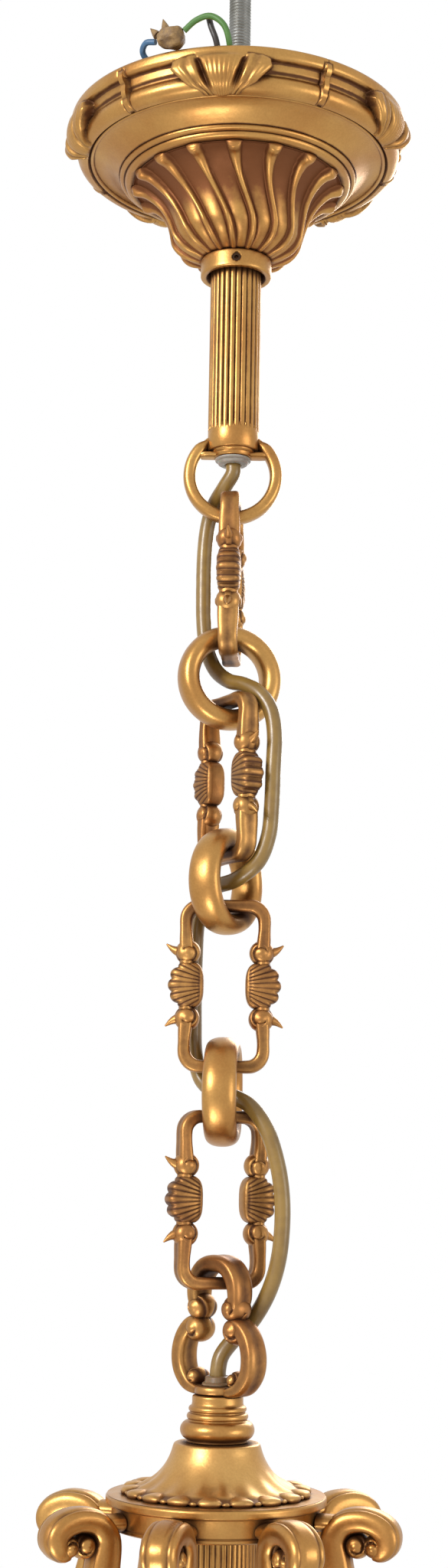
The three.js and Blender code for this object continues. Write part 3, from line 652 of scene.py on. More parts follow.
CORE_RADIUS = 1.3
EARTH_ROUTE = [
    (1.5, -8, 51), (1.5, -14, 51), (1.6, -20, 46), (1, -28, 35), (-0.4, -38, 24.5), (-2.4, -49, 15),
    (-3.6, -62, 6), (-4.3, -70.5, -2), (-6.8, -73.5, -9.4), (-12.5, -73, -13.8), (-18.6, -71.4, -12.6),
    (-23.5, -69.9, -8.6),
]
LIVE_ROUTE = [
    (-1.5, -8, 51), (-1.5, -14, 51), (-2.2, -20, 45.6), (-4.2, -28, 34), (-6, -38, 23.5), (-7.4, -52, 12),
    (-8.4, -63, 2.4), (-10, -68.4, -5), (-12.2, -69, -11), (-13.4, -69, -15.8),
]
NEUTRAL_ROUTE = [
    (0, -8, 53.9), (0, -14, 53.9), (-2.8, -17.4, 52.2), (-8.4, -19.4, 42.6), (-12.4, -24.6, 33.6),
    (-15.4, -35, 23), (-25, -46, 12), (-36, -55, 1), (-41, -58.5, -4), (-39.8, -62.2, -6.9),
    (-35.6, -64.5, -6.3),
]


def terminal_cap():
    """Crumpled tan cap with two pointed tips, where two of the cores end."""
    low, high = (np.array(corner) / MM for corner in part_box("wire_connector"))
    centre = (low + high) / 2
    form = Form()
    length = 12.0
    u = np.linspace(-1, 1, 18)[:, None]
    angle = circle(28)[None, :]
    pleat = 0.55 * np.cos(7 * angle + 2 * u) + 0.35 * np.sin(3 * angle - 5 * u)
    girth = 5.0 * np.sqrt(np.clip(1.02 - np.abs(u) ** 3.5, 0.02, 1)) + 0.7 * u
    radius = np.maximum(girth + pleat * (1 - u**2 * 0.5) * 0.9, 0.2)
    x = length / 2 * u * np.ones_like(angle)
    form.grid(np.stack([x, radius * np.cos(angle), 0.86 * radius * np.sin(angle)], -1))
    for tip, reach in (((-5.6, -0.6, 1.6), (-3.2, 0, 3.6)), ((-1.8, -0.8, 3.4), (-1.4, 0, 5.2))):
        line = np.array([np.array(tip) + np.array(reach) * t for t in (0, 0.35, 0.7, 1.0)])
        taper = np.array([2.0, 1.5, 0.8, 0.12])[:, None, None]
        form.grid(line[:, None] + (tube_rings(line, 1.0, 12) - line[:, None]) * taper)
    placed = Form().add(form, turn=-16, place=centre)
    return piece("terminal_cap", placed, RESIN, "suspension", "wire_connector")


def core(name, route, skin, node):
    line = route_line(route, 6)
    sides = 14
    tones = np.zeros((1, sides))
    tones[:, :4] = 1.0
    form = Form().grid(tube_rings(line, CORE_RADIUS, sides), tones)
    part = piece(name, form, skin, "suspension", node, sharp=60)


def loose_cores():
    cap = terminal_cap()
    core("core_earth", EARTH_ROUTE, EARTH_SKIN, "wire_earth")
    core("core_neutral", NEUTRAL_ROUTE, NEUTRAL_SKIN, "wire_neutral")
    core("core_live", LIVE_ROUTE, LIVE_SKIN, "wire_live")


# Rod, canopy, stem


def hanging_rod():
    """Steel rod with a rolled thread."""
    pitch = 1.5
    radius = 4.95
    form = Form()
    depth = np.arange(top("hanging_rod"), foot("hanging_rod"), pitch / 6)
    depth = np.append(depth, foot("hanging_rod"))[:, None]
    angle = circle(28)[None, :]
    turn = (depth / pitch - angle / (2 * math.pi)) % 1.0
    crest = np.abs(2 * turn - 1)
    reach = radius - 0.5 * (1 - ease(crest, 0.1, 0.85))
    form.grid(turned_points(reach, depth * np.ones_like(angle), angle), crest)
    piece("threaded_rod", form, STEEL, "suspension", "hanging_rod", sharp=0)


def stem():
    """Stem with reeds that end in points above a plain foot, and the grommet in its wire hole."""
    high, low = ends("stem_tube")
    reeds = 26
    reed_end = low - 7.6
    radius = 11.2
    rows = [*np.linspace(high, reed_end - 4, 14), *np.linspace(reed_end - 3.5, reed_end + 0.5, 12)]
    outer = profile(*[(radius, d) for d in rows], (radius, low - 0.6), (radius - 0.5, low))

    def reeding(angle, along, depth):
        reed = reeded(angle, reeds)
        reach = 1 - ease(depth + 2.6 * (1 - reed), reed_end - 0.8, reed_end)
        flute = (1 - reed) * reach
        return -0.95 * flute, 1 - 0.95 * unit(1.6 * flute)

    inner = profile((9.4, low), (9.3, high))
    turned("reeded_stem", "stem_tube", "suspension", outer, 10 * reeds, inner, reeding)
    hole = level(high + 16)
    rim = [(4.4 * math.cos(a), 4.4 * math.sin(a), 1.0, 1.1) for a in circle(24)]
    grommet = Form().add(swept(Form(), rim, 1, 10, closed=True), place=(0, -radius - 0.1, hole))
    ball(grommet, (0, -radius + 0.9, hole), (4.4, 1.2, 4.4))
    piece("wire_grommet", grommet, RUBBER, "suspension")


CLASPS = 5
CLASP_STEP = 360 / CLASPS
CLASP_TURN = -6.0
CLASP_HALF = 17.5
TIE_HALF = 1.1


def canopy_rim():
    """Rim with a three-leaved clasp over its groove and reed, and a beaded tie half way between them."""
    band = profile((72.6, 0), (74.3, 0), (75.0, 0.5), (75.2, 1.4))
    base = resampled(
        profile(
            (75.2, 2.2), (75.1, 3.8), (74.7, 4.8), (73.6, 5.3), (72.2, 5.5), (71.9, 6.1), (71.6, 8.9),
            (70.9, 9.7), arc(67.7, 13.9, 4.35, -46, 88, 14), (67.2, 18.4),
        ),
        52,
    )
    rows = len(base)
    leaves = [(75.2, 2.2), (75.7, 4.6), (76.3, 7.6), (76.4, 10.8), (75.5, 14.0), (73.2, 16.8), (69.8, 18.5),
              (67.2, 18.8)]
    shell = resampled(smooth(leaves, 6), rows)
    band_line = [(75.3, 2.2), (75.6, 4.8), (74.9, 7.0), (73.6, 9.2), (73.2, 12.6), (71.8, 16.0), (68, 18.7)]
    strap = resampled(smooth(band_line, 6), rows)
    under = profile(
        (66.7, 17.6), (66.2, 17.2), arc(65.3, 17.4, 0.85, -20, 140, 6), (64.3, 17.0),
        smooth([(63.7, 16.9), (61.4, 17.3), (59.0, 18.3), (56.8, 19.9), (54.9, 21.8), (53.5, 23.4)], 4),
        (53.0, 24.0), (52.4, 23.6), arc(51.5, 24.6, 1.35, -35, 100, 8), (50.9, 26.1), (50.4, 25.9),
        (50.5, 26.5), (50.2, 27.5), (49.5, 28.1), (48.2, 28.3), (46.8, 28.2), (44.9, 28.0),
    )
    inner = profile((44.6, 27.6), (45.4, 24.4), (49.0, 20.4), (62, 13.6), (66.6, 10.8), (71.2, 1.0),
                    (71.8, 0))
    one = np.array([*np.linspace(-19, 19, 170), *np.linspace(20, 33.6, 14), *np.linspace(34.2, 37.8, 13),
                    *np.linspace(38.4, 52, 14)])
    angle = (CLASP_TURN + one[None, :] + CLASP_STEP * np.arange(CLASPS)[:, None]).reshape(1, -1)
    sides = angle.size
    t = np.linspace(0, 1, rows)[:, None]
    off = (angle - CLASP_TURN + CLASP_STEP / 2) % CLASP_STEP - CLASP_STEP / 2
    side = np.abs(off) / CLASP_HALF
    split = 0.5 - 0.34 * t
    edge = 1.0 - 0.14 * t - 0.5 * ease(t, 0.35, 1.0) - 0.05 * np.abs(np.sin(3 * math.pi * t))
    in_centre = side < split
    middle = 1 - ease(side - split, -0.02, 0.02)
    s = unit(side / split)
    v = unit((side - split) / np.maximum(edge - split, 0.05))
    head = 0.09 + 0.10 * v**2
    start = np.where(in_centre, ease(t, 0.0, 0.16), ease(t, head - 0.04, head + 0.015))
    finish = (1 - ease(side, edge - 0.03, edge + 0.02)) * (1 - ease(t, 0.955, 1.0))
    valley = bell_curve(side - split, 0.05) * ease(t, 0.03, 0.2) * (1 - 0.6 * ease(t, 0.6, 0.95))
    cover = start * finish * (1 - 0.5 * valley)
    fine = middle * np.cos(9 * math.pi * s) + (1 - middle) * np.cos(9 * math.pi * v + 3 * t)
    vein = np.where(in_centre, 0, bell_curve(v - 0.42, 0.1))
    leaf = 1.5 * np.sin(math.pi * v) ** 0.8 * np.sin(math.pi * np.clip(t, 0.05, 1)) ** 0.5
    dome = middle * 0.9 * (1 - s**2) + (1 - middle) * leaf
    relief = dome + 0.1 * fine * ease(t, 0.12, 0.3) * (1 - valley) - 0.75 * vein
    tie = np.abs((angle - CLASP_TURN) % CLASP_STEP - CLASP_STEP / 2)
    bound = 1 - ease(tie, TIE_HALF - 0.2, TIE_HALF + 0.15)
    bead = np.abs(np.sin(3 * math.pi * unit(t * 1.02))) ** 0.55
    layers = (lifted(base, 0), lifted(shell, relief), lifted(strap, 0.75 * bead - 0.35))
    carved = [ground + cover * (leafy - ground) for ground, leafy in zip(*layers[:2])]
    carved = [part + bound * (tied - part) for part, tied in zip(carved, layers[2])]
    seam = bell_curve(tie - TIE_HALF - 0.35, 0.3)
    carved[0] = carved[0] - 0.5 * seam
    depth = base[:, 1:]
    # Painted shade: the rows of the two grooves, the V grooves, the outlines and brows of the leaves and
    # the gaps between the tie's beads are darkened
    line = ease(depth, 4.9, 5.6) * (1 - ease(depth, 5.8, 6.6)) + bell_curve(depth - 9.6, 0.75)
    outline = bell_curve(side - edge - 0.015, 0.03) * (1 - ease(t, 0.95, 1.0)) * ease(t, 0.1, 0.2)
    brow = np.where(in_centre | (side > edge), 0, bell_curve(t - head + 0.03, 0.025))
    outline = np.maximum(outline, brow)
    leaf_shade = 0.35 * vein + 0.12 * (1 - fine)
    shade = (1 - cover) * unit(line) + cover * leaf_shade + 0.62 * valley + 0.7 * outline
    shade = np.maximum(unit(shade) * (1 - bound), np.maximum(0.8 * bound * (1 - bead), 0.85 * seam))
    plain = np.ones((1, sides))
    band_radius = band[:, :1] * plain - 0.25 * bell_curve(tie, 0.25)
    band_shade = 0.55 * bell_curve(tie, 0.3) * np.ones((len(band), 1))
    # Painted shade under the rim: the fillet below the reed, the grooves beside the bead and the underside;
    # the inside of the rim is painted darker too
    under_shade = np.zeros(len(under))
    under_shade[[0, 1, 2, 8]] = (1.0, 1.0, 0.5, 0.5)
    for radius, dark in ((53.0, 1.0), (52.4, 0.9), (50.9, 0.9), (50.4, 0.9), (46.8, 0.8), (48.2, 0.3)):
        under_shade[np.argmin(np.abs(under[:, 0] - radius))] = dark
    radius = np.vstack([band_radius, carved[0], under[:, :1] * plain, inner[:, :1] * plain])
    depth = np.vstack([band[:, 1:] * plain, carved[1], under[:, 1:] * plain, inner[:, 1:] * plain])
    inner_shade = 0.4 * np.ones((len(inner), sides))
    shades = np.vstack([band_shade, shade, under_shade[:, None] * plain, inner_shade])
    form = Form().grid(turned_points(radius, depth, np.radians(angle)), unit(1 - shades), closed=True)
    piece("canopy_rim_cast", form, GOLD, "canopy", "canopy_rim", sharp=60)


FLUTES = 16


def canopy_bell():
    """Bell with sixteen narrow rolls that wind round it, and broad fillets between them."""
    line = smooth(
        [(46.9, 28.7), (45.2, 29.3), (41.3, 30.9), (37.4, 33.7), (33.8, 37.5), (31.2, 41.9), (29.5, 46.4),
         (28.4, 50.6), (27.4, 54.2), (25.0, 57.6), (21.6, 60.2), (18.4, 61.9), (16.4, 62.8)], 6
    )
    outer = profile((43.6, 28.2), (46.6, 28.3), line)
    inner = profile((12.3, 62.8), (12.3, 60.6), (20.6, 56.4), (24.4, 50), (25.4, 43.6), (31.2, 36.4),
                    (36, 32.4), (42.8, 28.8))

    def fluting(angle, along, depth):
        u = ((angle * FLUTES / 360) % 1.0) * 2 - 1
        roll_half = 0.40 - 0.13 * ease(along, 0.1, 0.42) + 0.12 * ease(along, 0.6, 1.0)
        side = np.abs(u)
        roll = np.sqrt(unit(1 - (side / roll_half) ** 2))
        v = unit((side - roll_half) / (1 - roll_half))
        fillet = np.sqrt(unit(1 - (1 - v) ** 2))
        fade = ease(along, 0.05, 0.09) * (1 - 0.55 * ease(along, 0.84, 1.0))
        knob = 0.8 * bell_curve(along - 0.11, 0.05)
        rise = np.where(side < roll_half, (2.9 + knob) * roll, 1.4 * fillet * ease(along, 0.25, 0.7))
        # Painted shade: a dark line beside each roll, fillets dark near the top under the rim and lighter
        # lower down, and the top edge dark
        cut = bell_curve(side - roll_half, 0.07)
        floor = 0.05 + 0.85 * ease(along, 0.3, 0.7) * (0.3 + 0.7 * fillet)
        tones = np.where(side < roll_half, 0.35 + 0.65 * roll, floor)
        return (rise - 1.1) * fade, unit(tones - 0.65 * cut) * ease(along, 0.04, 0.07)

    def winding(depth):
        return 20 * ease(depth, 28.3, 62.8) + 9

    form = lathe(Form(), outer, 720, inner, fluting, winding)
    piece("fluted_bell", form, RED_BROWN, "canopy", "canopy_bell", sharp=0)


def collar():
    """Plain collar, bored for its grub screw at the front."""
    high, low = ends("canopy_collar")
    bore = 12.1
    rows = profile(*[(15.7, d) for d in np.linspace(high + 1.4, low - 1.6, 14)])
    outer = profile((15.0, high), arc(14.9, high + 0.8, 0.8, -80, 0, 5), rows,
                    arc(14.9, low - 0.8, 0.8, 10, 85, 5), (13.4, low), (12.95, low - 0.3))
    inner = profile((12.7, low - 1.4), (bore, low - 2.0), (bore, high))

    def grub_hole(angle, along, depth):
        across = np.radians((angle + 180) % 360 - 180) * 15.7
        away = np.hypot(across, depth - (high + low) / 2)
        hole = 1 - ease(away, 1.5, 2.2)
        # Painted shade inside the grub screw's hole
        return -2.4 * hole, 1 - hole

    turned("stem_collar", "canopy_collar", "canopy", outer, 360, inner, grub_hole)


def flattened(angle, along):
    """A rounded bar that is flatter on its sides than a round one."""
    c, s = np.cos(angle), np.sin(angle)
    return powered(c, 0.8), powered(s, 0.7), (1 - 0.1 * np.abs(s)) * np.ones_like(along)


def stem_loop():
    """Round loop whose shoulders rise to the stem, with a flat bar across it and a spigot in the stem."""
    seat = foot("stem_tube")
    wire = 16.1 + 2.75
    form = Form()
    boss = below(seat, (9.0, -9), (9.5, 0.3), (9.3, 0.9), (8.4, 1.4), (8.2, 2.7), (7.8, 3.1))
    lathe(form, boss, 64, below(seat, (4.6, 3.1), (4.6, -9)))
    rise = math.radians(64)
    ring = []
    for a in np.linspace(math.pi - rise, 2 * math.pi + rise, 76):
        thin = 1 - 0.75 * ease(math.sin(a), 0.62, 0.9)
        out = (wire - 0.9 * (1 - thin)) * math.cos(a)
        ring.append((out, 11.1 - wire * math.sin(a), 2.75 * thin, 3.75 * thin**0.4))
    swept(form, hung(ring, seat), 1, 28, flattened)
    bar = [(x, 1.65, 1.45, 3.7 - 1.6 * ease(abs(x), 12.5, 16.2)) for x in np.linspace(-16.2, 16.2, 25)]
    swept(form, hung(bar, seat), 1, 24, flattened)
    shoulder = [(15.0, 1.6, 2.0, 3.1), (12.8, -2.0, 2.3, 3.1), (10.0, -6.0, 1.0, 2.4)]
    for flip in (False, True):
        form.add(swept(Form(), hung(shoulder, seat), 4, 20), flip=flip)
    piece("stem_ring", form, GOLD, "suspension", "stem_loop", sharp=48)


def nylon_bush(name, node, body, skin, flange, down, raised=0.0):
    """Nylon bush with a rounded, stepped flange."""
    high, low = ends(node)
    seat, out = (high + 2.8 - raised, 1) if down else (low - 2.8, -1)
    tip = low - 1.9 * raised if down else high
    outer = profile(
        below(seat, (4.25, -2.8 * out), (4.25, 0), (flange, 0), (flange, 0.7 * out),
            (flange - 0.5, 1.1 * out), (flange - 1.0, 1.2 * out)),
        (flange - 1.3, tip - 0.5 * out), (flange - 2.1, tip),
    )
    form = lathe(Form(), outer, 48, profile((3.75, tip), (3.6, tip - 0.5 * out), (3.6, seat - 2.8 * out)))
    piece(name, form, skin, body, node, sharp=45)


# Chain


def shell_outline(hinge, middle):
    """Inner and outer reach of a shell from the point its ribs fan from, at each angle."""
    turn = np.linspace(0, 2 * math.pi, 1441)
    c, s = np.cos(turn), np.sin(turn)
    wide = np.where(c > 0, 8.2, 6.9)
    blunt = np.where(c > 0, 2.1, 3.0)
    reach = ((np.abs(c) / wide) ** blunt + (np.abs(s) / 9.8) ** blunt) ** (-1 / blunt)
    x, z = middle + reach * c - hinge, reach * s
    fan, away = np.arctan2(z, x), np.hypot(x, z)
    low, high = np.argmin(fan), np.argmax(fan)
    outer = np.r_[low:1441, 0 : high + 1]
    inner = np.r_[high : low + 1][::-1]
    stations = fan[high] * np.sin(np.linspace(-math.pi / 2, math.pi / 2, 131))
    near, far = (np.interp(stations, fan[rows], away[rows]) for rows in (inner, outer))
    return stations, near, far


def shell_fan(form):
    """Scallop of a link: fine ribs fan over both faces from its inner edge to a lobed outer edge."""
    hinge = 1.0
    half_axial = 5.3
    fan, near, far = (row[:, None] for row in shell_outline(hinge, 15.6))
    lobe = np.abs(np.cos(fan * math.pi / 0.255)) ** 0.6
    rib = np.abs(np.cos(fan * math.pi / 0.1275)) ** 0.5
    far = near + (far - near) * (1 - 0.11 * (1 - lobe))
    middle, half = (near + far) / 2, (far - near) / 2
    turn = circle(40)[None, :]
    c, s = np.cos(turn), np.sin(turn)
    away = middle + half * powered(c, 0.62)
    field = ease(away - near, 1.4, 2.6) * ease(half, 1.0, 4.0)
    carved = (1 - rib) * field
    rolled = bell_curve(away - near - 2.0, 0.55) * ease(half, 2.0, 5.0)
    full = (half / half.max()) ** 0.35
    y = half_axial * full * powered(s, 0.5) * (1 - 0.1 * carved - 0.08 * rolled)
    tones = unit(0.85 - 0.95 * carved - 0.4 * rolled - 0.4 * (1 - lobe) * ease(c, 0.6, 1.0))
    return form.grid(np.stack([hinge + away * np.cos(fan), y, away * np.sin(fan)], -1), tones)


def horn(form, places, thick):
    """Pointed leaf tip or thorn along a line of [across, up]."""
    sizes = np.linspace(1, 0.06, len(places)) ** 0.8
    swept(form, [(x, z, thick * s, thick * s) for (x, z), s in zip(places, sizes)], 5, 14)


def strap_section(angle, along):
    """A rounded rectangle with a shallow hollow along each face."""
    c, s = np.cos(angle), np.sin(angle)
    off = powered(c, 0.78) * (1 - 0.14 * bell_curve(s, 0.4))
    side = powered(s, 0.78) * (1 - 0.12 * bell_curve(c, 0.4))
    return off, side, 1 - (0.5 * bell_curve(s, 0.3) + 0.35 * bell_curve(c, 0.3)) * np.ones_like(along)


def link_form():
    """Cast link: two square-shouldered bows, four volutes with thorns, two scallops."""
    bar = 3.0
    wide = 4.5
    top_bar = 61.3 / 2 + bar
    corner = 6.5
    edge = 16.5
    half = Form()
    bend = []
    for a in np.radians([0, 22, 45, 68, 90]):
        x, z = edge - corner * (1 - math.sin(a)), top_bar - corner * (1 - math.cos(a))
        bend.append((x, z, bar + 0.15 * math.sin(2 * a), wide))
    slim = (top_bar, bar - 0.22, wide - 0.3)
    bow = [(0, *slim), (5, *slim), *bend, (edge, 23.4, bar - 0.1, wide + 0.3),
           (edge - 0.2, 19.4, bar + 0.2, wide + 0.5), (16.0, 15.5, 3.4, wide + 0.5)]
    mirrored = [(-x, *rest) for x, *rest in reversed(bow[1:])]
    swept(half, mirrored + bow, 4, 36, strap_section)
    for flip in (False, True):
        side = volute(Form(), 15.5, 13.8, 5.3, 5.3, 1.3, 0.62)
        horn(side, [(16.6, 13.9), (19.6, 14.2), (22.0, 15.2), (24.6, 17.2)], 3.0)
        swept(side, [(16.0, 13, 2.8, 3.9), (16.0, 10.5, 3.0, 4.0), (16.0, 7, 3.2, 4.0)], 3, 20)
        half.add(side, flip=flip)
    link = Form()
    for z_sign in (1, -1):
        link.faces += [[link.count + k for k in face] for face in half.faces]
        link.points += [points * (1, 1, z_sign) for points in half.points]
        link.tones += half.tones
        link.count += half.count
    for flip in (False, True):
        link.add(shell_fan(Form()), flip=flip)
    return link


LINK_YAWS = [86, -60, 0, 20]
RING_YAWS = [15, 60, 85]
BOW_YAW = -45


def band_section(angle, along):
    """The nearly round section of the rings."""
    return powered(np.cos(angle), 0.9), powered(np.sin(angle), 0.86), np.ones_like(angle * along)


def chain():
    link = link_form()
    for i, yaw in enumerate(LINK_YAWS, 1):
        form = Form().add(link, yaw, (0, 0, level(middle(f"link_{i}"))))
        piece(f"shell_link_{i}", form, BROWNED, CHAIN[2 * i - 1], f"link_{i}", sharp=55)
    radius = 13.65 + 4.5
    for i, yaw in enumerate(RING_YAWS, 1):
        angle = circle(96)
        wobble = 1 + 0.012 * np.cos(3 * angle + i)
        round_line = [radius * np.cos(angle), radius * np.sin(angle), 4.45 * wobble, 7.0 * wobble]
        ring = swept(Form(), np.stack(round_line, -1), 1, 40, band_section, closed=True)
        form = Form().add(ring, yaw, (0, 0, level(middle(f"ring_{i}"))))
        piece(f"chain_ring_{i}", form, GOLD, CHAIN[2 * i], f"ring_{i}", sharp=0)


# Bow, base, cap and crown


def cage_bow():
    """Arch of two upper scrolls on two wider lower ones, with a volute at each end."""
    seat = top("cage_bow") + 8.5
    form = Form()
    upper = [(9.4, 14.4, 3.0, 5.3), (11.6, 8.8, 3.4, 5.8), (10.6, 1.8, 3.8, 6.1), (6.4, -3.25, 3.85, 6.3),
             (0, -4.75, 3.85, 6.3)]
    arch = upper + [(-x, *rest) for x, *rest in reversed(upper[:-1])]
    lower = [(9.2, 19.4, 3.2, 5.2), (13.6, 20.2, 3.6, 5.5), (17.8, 24.6, 3.8, 5.6), (19.9, 31.0, 3.9, 5.8),
             (19.2, 37.8, 3.8, 5.8), (15.2, 43.4, 3.3, 5.7), (9.6, 45.7, 2.3, 5.6), (5.4, 45.8, 1.6, 5.2)]
    swept(form, hung(arch, seat), 8, 36, strap_section)
    for flip in (False, True):
        side = swept(Form(), hung(lower, seat), 8, 36, strap_section)
        volute(side, 9.8, level(seat + 13.0), 5.5, 6.2, 1.3, 0.4)
        volute(side, 10.8, level(seat + 21.6), 5.7, 6.1, 1.3, 0.1)
        horn(side, hung([(10.6, 16.8), (13.4, 16.4), (16.2, 14.4)], seat), 2.1)
        volute(side, 11.5, level(seat + 41.0), 3.7, 5.3, 1.2, 0.3)
        form.add(side, flip=flip)
    pad = below(seat, (9.0, 43.9), (9.5, 44.4), (9.5, 46.6), (9.0, 47.1))
    lathe(form, pad, 48, below(seat, (4.6, 47.1), (4.6, 43.9)))
    piece("scroll_bow", Form().add(form, BOW_YAW), BROWNED, "cage", "cage_bow", sharp=50)


def base_turning():
    high, low = ends("base_turning")
    outer = profile(
        below(high, (9.2, 0), arc(9.6, 0.9, 0.8, -90, 10, 5), (10.4, 3.0), (10.6, 3.9),
            arc(10.5, 5.4, 1.3, -60, 60, 6), (11.2, 6.9), arc(11.0, 8.3, 1.5, -50, 50, 7), (12.0, 9.7),
            (12.6, 10.2), arc(11.2, 13.6, 3.9, -60, 62, 14)),
        below(low, (12.6, -1.2), (12.2, -0.9), (12.6, -0.3), (12.4, 0)),
    )
    turned("turned_base", "base_turning", "cage", outer, 96, profile((4.3, low), (4.3, high)))


RIB_TURNS = [-62 + 45 * i for i in range(8)]
LIGHT_TURNS = RIB_TURNS[::2]


def bell_cap():
    """Small bell whose hem is a row of lobes with a bead between each two."""
    high, low = ends("bell_cap")
    flare = [(17.8, 1.4), (18.7, 4.2), (20.2, 7.4), (22.4, 10.6), (25.4, 13.6), (29.4, 16.0), (33.6, 17.4),
             (36.6, 18.0)]
    shoulder = arc(16.4, 1.3, 1.3, -85, -8, 7)
    lip = arc(36.8, 18.8, 0.75, -60, 80, 6)
    outer = profile(below(high, (14.6, 0), shoulder, smooth(flare, 6), lip), (35.0, low - 0.05))
    inner = profile((30, low), (27, low - 4), (20.5, low - 7.6), below(high, (14, 3), (4.3, 3), (4.3, 0)))

    def hem(angle, along, depth):
        off = np.abs((angle + 4) % 20 - 10)
        height = (along - 0.87) / 0.15
        lobe = np.sqrt(unit(1 - ((10 - off) / 7.4) ** 2 - height**2))
        bead = np.sqrt(unit(1 - (off / 2.3) ** 2 - ((along - 0.93) / 0.055) ** 2))
        flute = np.cos(np.radians(angle + 4) * 18) * ease(along, 0.3, 0.7) * (1 - ease(along, 0.7, 0.8))
        band = ease(along, 0.7, 0.78)
        # Painted shade in the gaps between the lobes and beads of the hem and in the flutes above it
        gap = band * (1 - unit(1.6 * np.maximum(lobe, bead)))
        tones = 1 - 0.6 * gap - 0.18 * (1 + flute) * ease(along, 0.35, 0.7)
        return 1.5 * lobe + 0.7 * bead - 0.4 * band - 0.35 * flute, unit(tones)

    form = lathe(Form(), outer, 540, inner, hem)
    piece("lobed_cap", form, BRIGHT_GOLD, "cage", "bell_cap", sharp=0)


CROWN_LIP = 3.9


def crown_disc():
    high, low = ends("crown_disc")
    under = high + CROWN_LIP
    outer = profile(
        below(high, (40, 0), (43.9, 0.05), arc(43.2, 1.3, 1.3, -80, 10, 7), arc(43.4, 2.7, 1.1, -5, 40, 5)),
        (44.0, under - 0.4), (42.4, under), (42.0, under + 0.5),
        below(low, (42.0, -2.4), (41.6, -2.1), (41.6, -1.8), (42.0, -1.5), (42.0, -0.5), (41.4, 0)),
    )
    inner = profile((38.6, low), (38.5, under), (4.3, under), (4.3, high))
    turned("crown_plate", "crown_disc", "cage", outer, 144, inner, sharp=45)


def centre_column():
    high, low = ends("centre_column")
    shaft = low - 90
    reeds = 48
    rows = np.linspace(high, shaft - 6, 16)
    outer = profile(
        *[(17.4, d) for d in rows],
        below(shaft, (17.4, -4), (17.4, -2.5), arc(17.0, 0, 2.2, -60, 80, 9), (17.6, 3), (19.2, 6),
            (18.6, 8.2), (13.4, 13), (12.4, 17),
            *smooth([(14.4, 24), (19.6, 37), (24.2, 50), (25.6, 60), (22.4, 71), (16.6, 80)], 6),
            (15.6, 82), arc(18.4, 85.6, 3.2, -70, 70, 9)),
        (20.6, low - 0.6), (20.2, low),
    )
    inner = profile((4.3, low), (4.3, shaft + 6), (15, shaft), (15, high))

    def reeding(angle, along, depth):
        reed = reeded(angle, reeds)
        on = (1 - ease(depth, shaft - 7, shaft - 5)) * ease(depth, high + 0.2, high + 1.4)
        gadroon = lobes(angle, 12)
        belly = ease(depth, shaft + 44, shaft + 60) * (1 - ease(depth, shaft + 72, shaft + 80))
        flute = (1 - reed) * on
        lift = -0.5 * flute + 1.1 * belly * (gadroon**0.6 - 0.6)
        return lift, unit(1 - 1.4 * flute - 0.7 * belly * (1 - gadroon) ** 2)

    turned("reeded_column", "centre_column", "cage", outer, 8 * reeds, inner, reeding)


def bottom_hub():
    high, low = ends("bottom_hub")
    outer = profile(
        below(high, (21.2, 0), (22.0, 0.8), (22.0, 3.4), (23.6, 4.4), arc(25.6, 7.6, 3.2, -80, -8, 6),
            (29.4, 9)),
        below(low, (29.4, -5), arc(26.6, -4.6, 3.1, 10, 80, 7), (22, -1.2), (18, -0.4), (14, 0)),
    )

    def bead_band(angle, along, depth):
        bead = lobes(angle, 48) ** 0.6
        on = bell_curve(depth - (low - 5.5), 1.8)
        return 0.9 * on * (bead - 0.4), unit(1 - 0.8 * on * (1 - bead))

    inner = profile((4.3, low), (4.3, high))
    turned("cast_hub", "bottom_hub", "cage", outer, 384, inner, bead_band)


def bottom_finial():
    """Turned finial with a gadrooned bulb and a berry at its tip."""
    high, low = ends("bottom_finial")
    outer = profile(
        below(high, (10.8, 0), (11.2, 1), (10.6, 2.4), (12.2, 3.4),
            *smooth([(14.6, 5), (17.4, 9.6), (17.2, 14), (14.2, 19), (9.4, 24)], 6), (7.6, 26),
            arc(6.6, 28, 1.8, -60, 70, 6), (5.0, 30.4), (5.2, 31.6)),
        smooth(profile(below(high, (6.4, 33), (8.5, 37.2), (7.2, 41.6), (4.0, 44.6)), (0.6, low - 0.1)), 5),
        (0, low),
    )

    def gadroons(angle, along, depth):
        lobe = lobes(angle, 12)
        on = ease(depth, high + 4, high + 8) * (1 - ease(depth, high + 20, high + 25))
        return 1.3 * on * (lobe**0.6 - 0.7), unit(1 - 0.85 * on * (1 - lobe) ** 2)

    inner = below(high, (0, 15), (4.3, 15), (4.3, 0))
    turned("cast_finial", "bottom_finial", "cage", outer, 288, inner, gadroons)


# Ribs and lights

LIGHT_RADIUS = 220
CAGE_RADIUS = 140
RIB_DROP = 98


def leaf_section(angle, along):
    """Broad, slightly convex band with a thick bead along each edge."""
    side = powered(np.sin(angle), 0.8)
    cut = bell_curve(np.abs(side) - 0.56, 0.11)
    bead = bell_curve(np.abs(side) - 0.8, 0.22)
    off = powered(np.cos(angle), 0.7) * (1 - 0.16 * cut + 0.05 * bead - 0.05 * bell_curve(side, 0.3))
    return off, side, 1 - 0.55 * cut * np.ones_like(along)


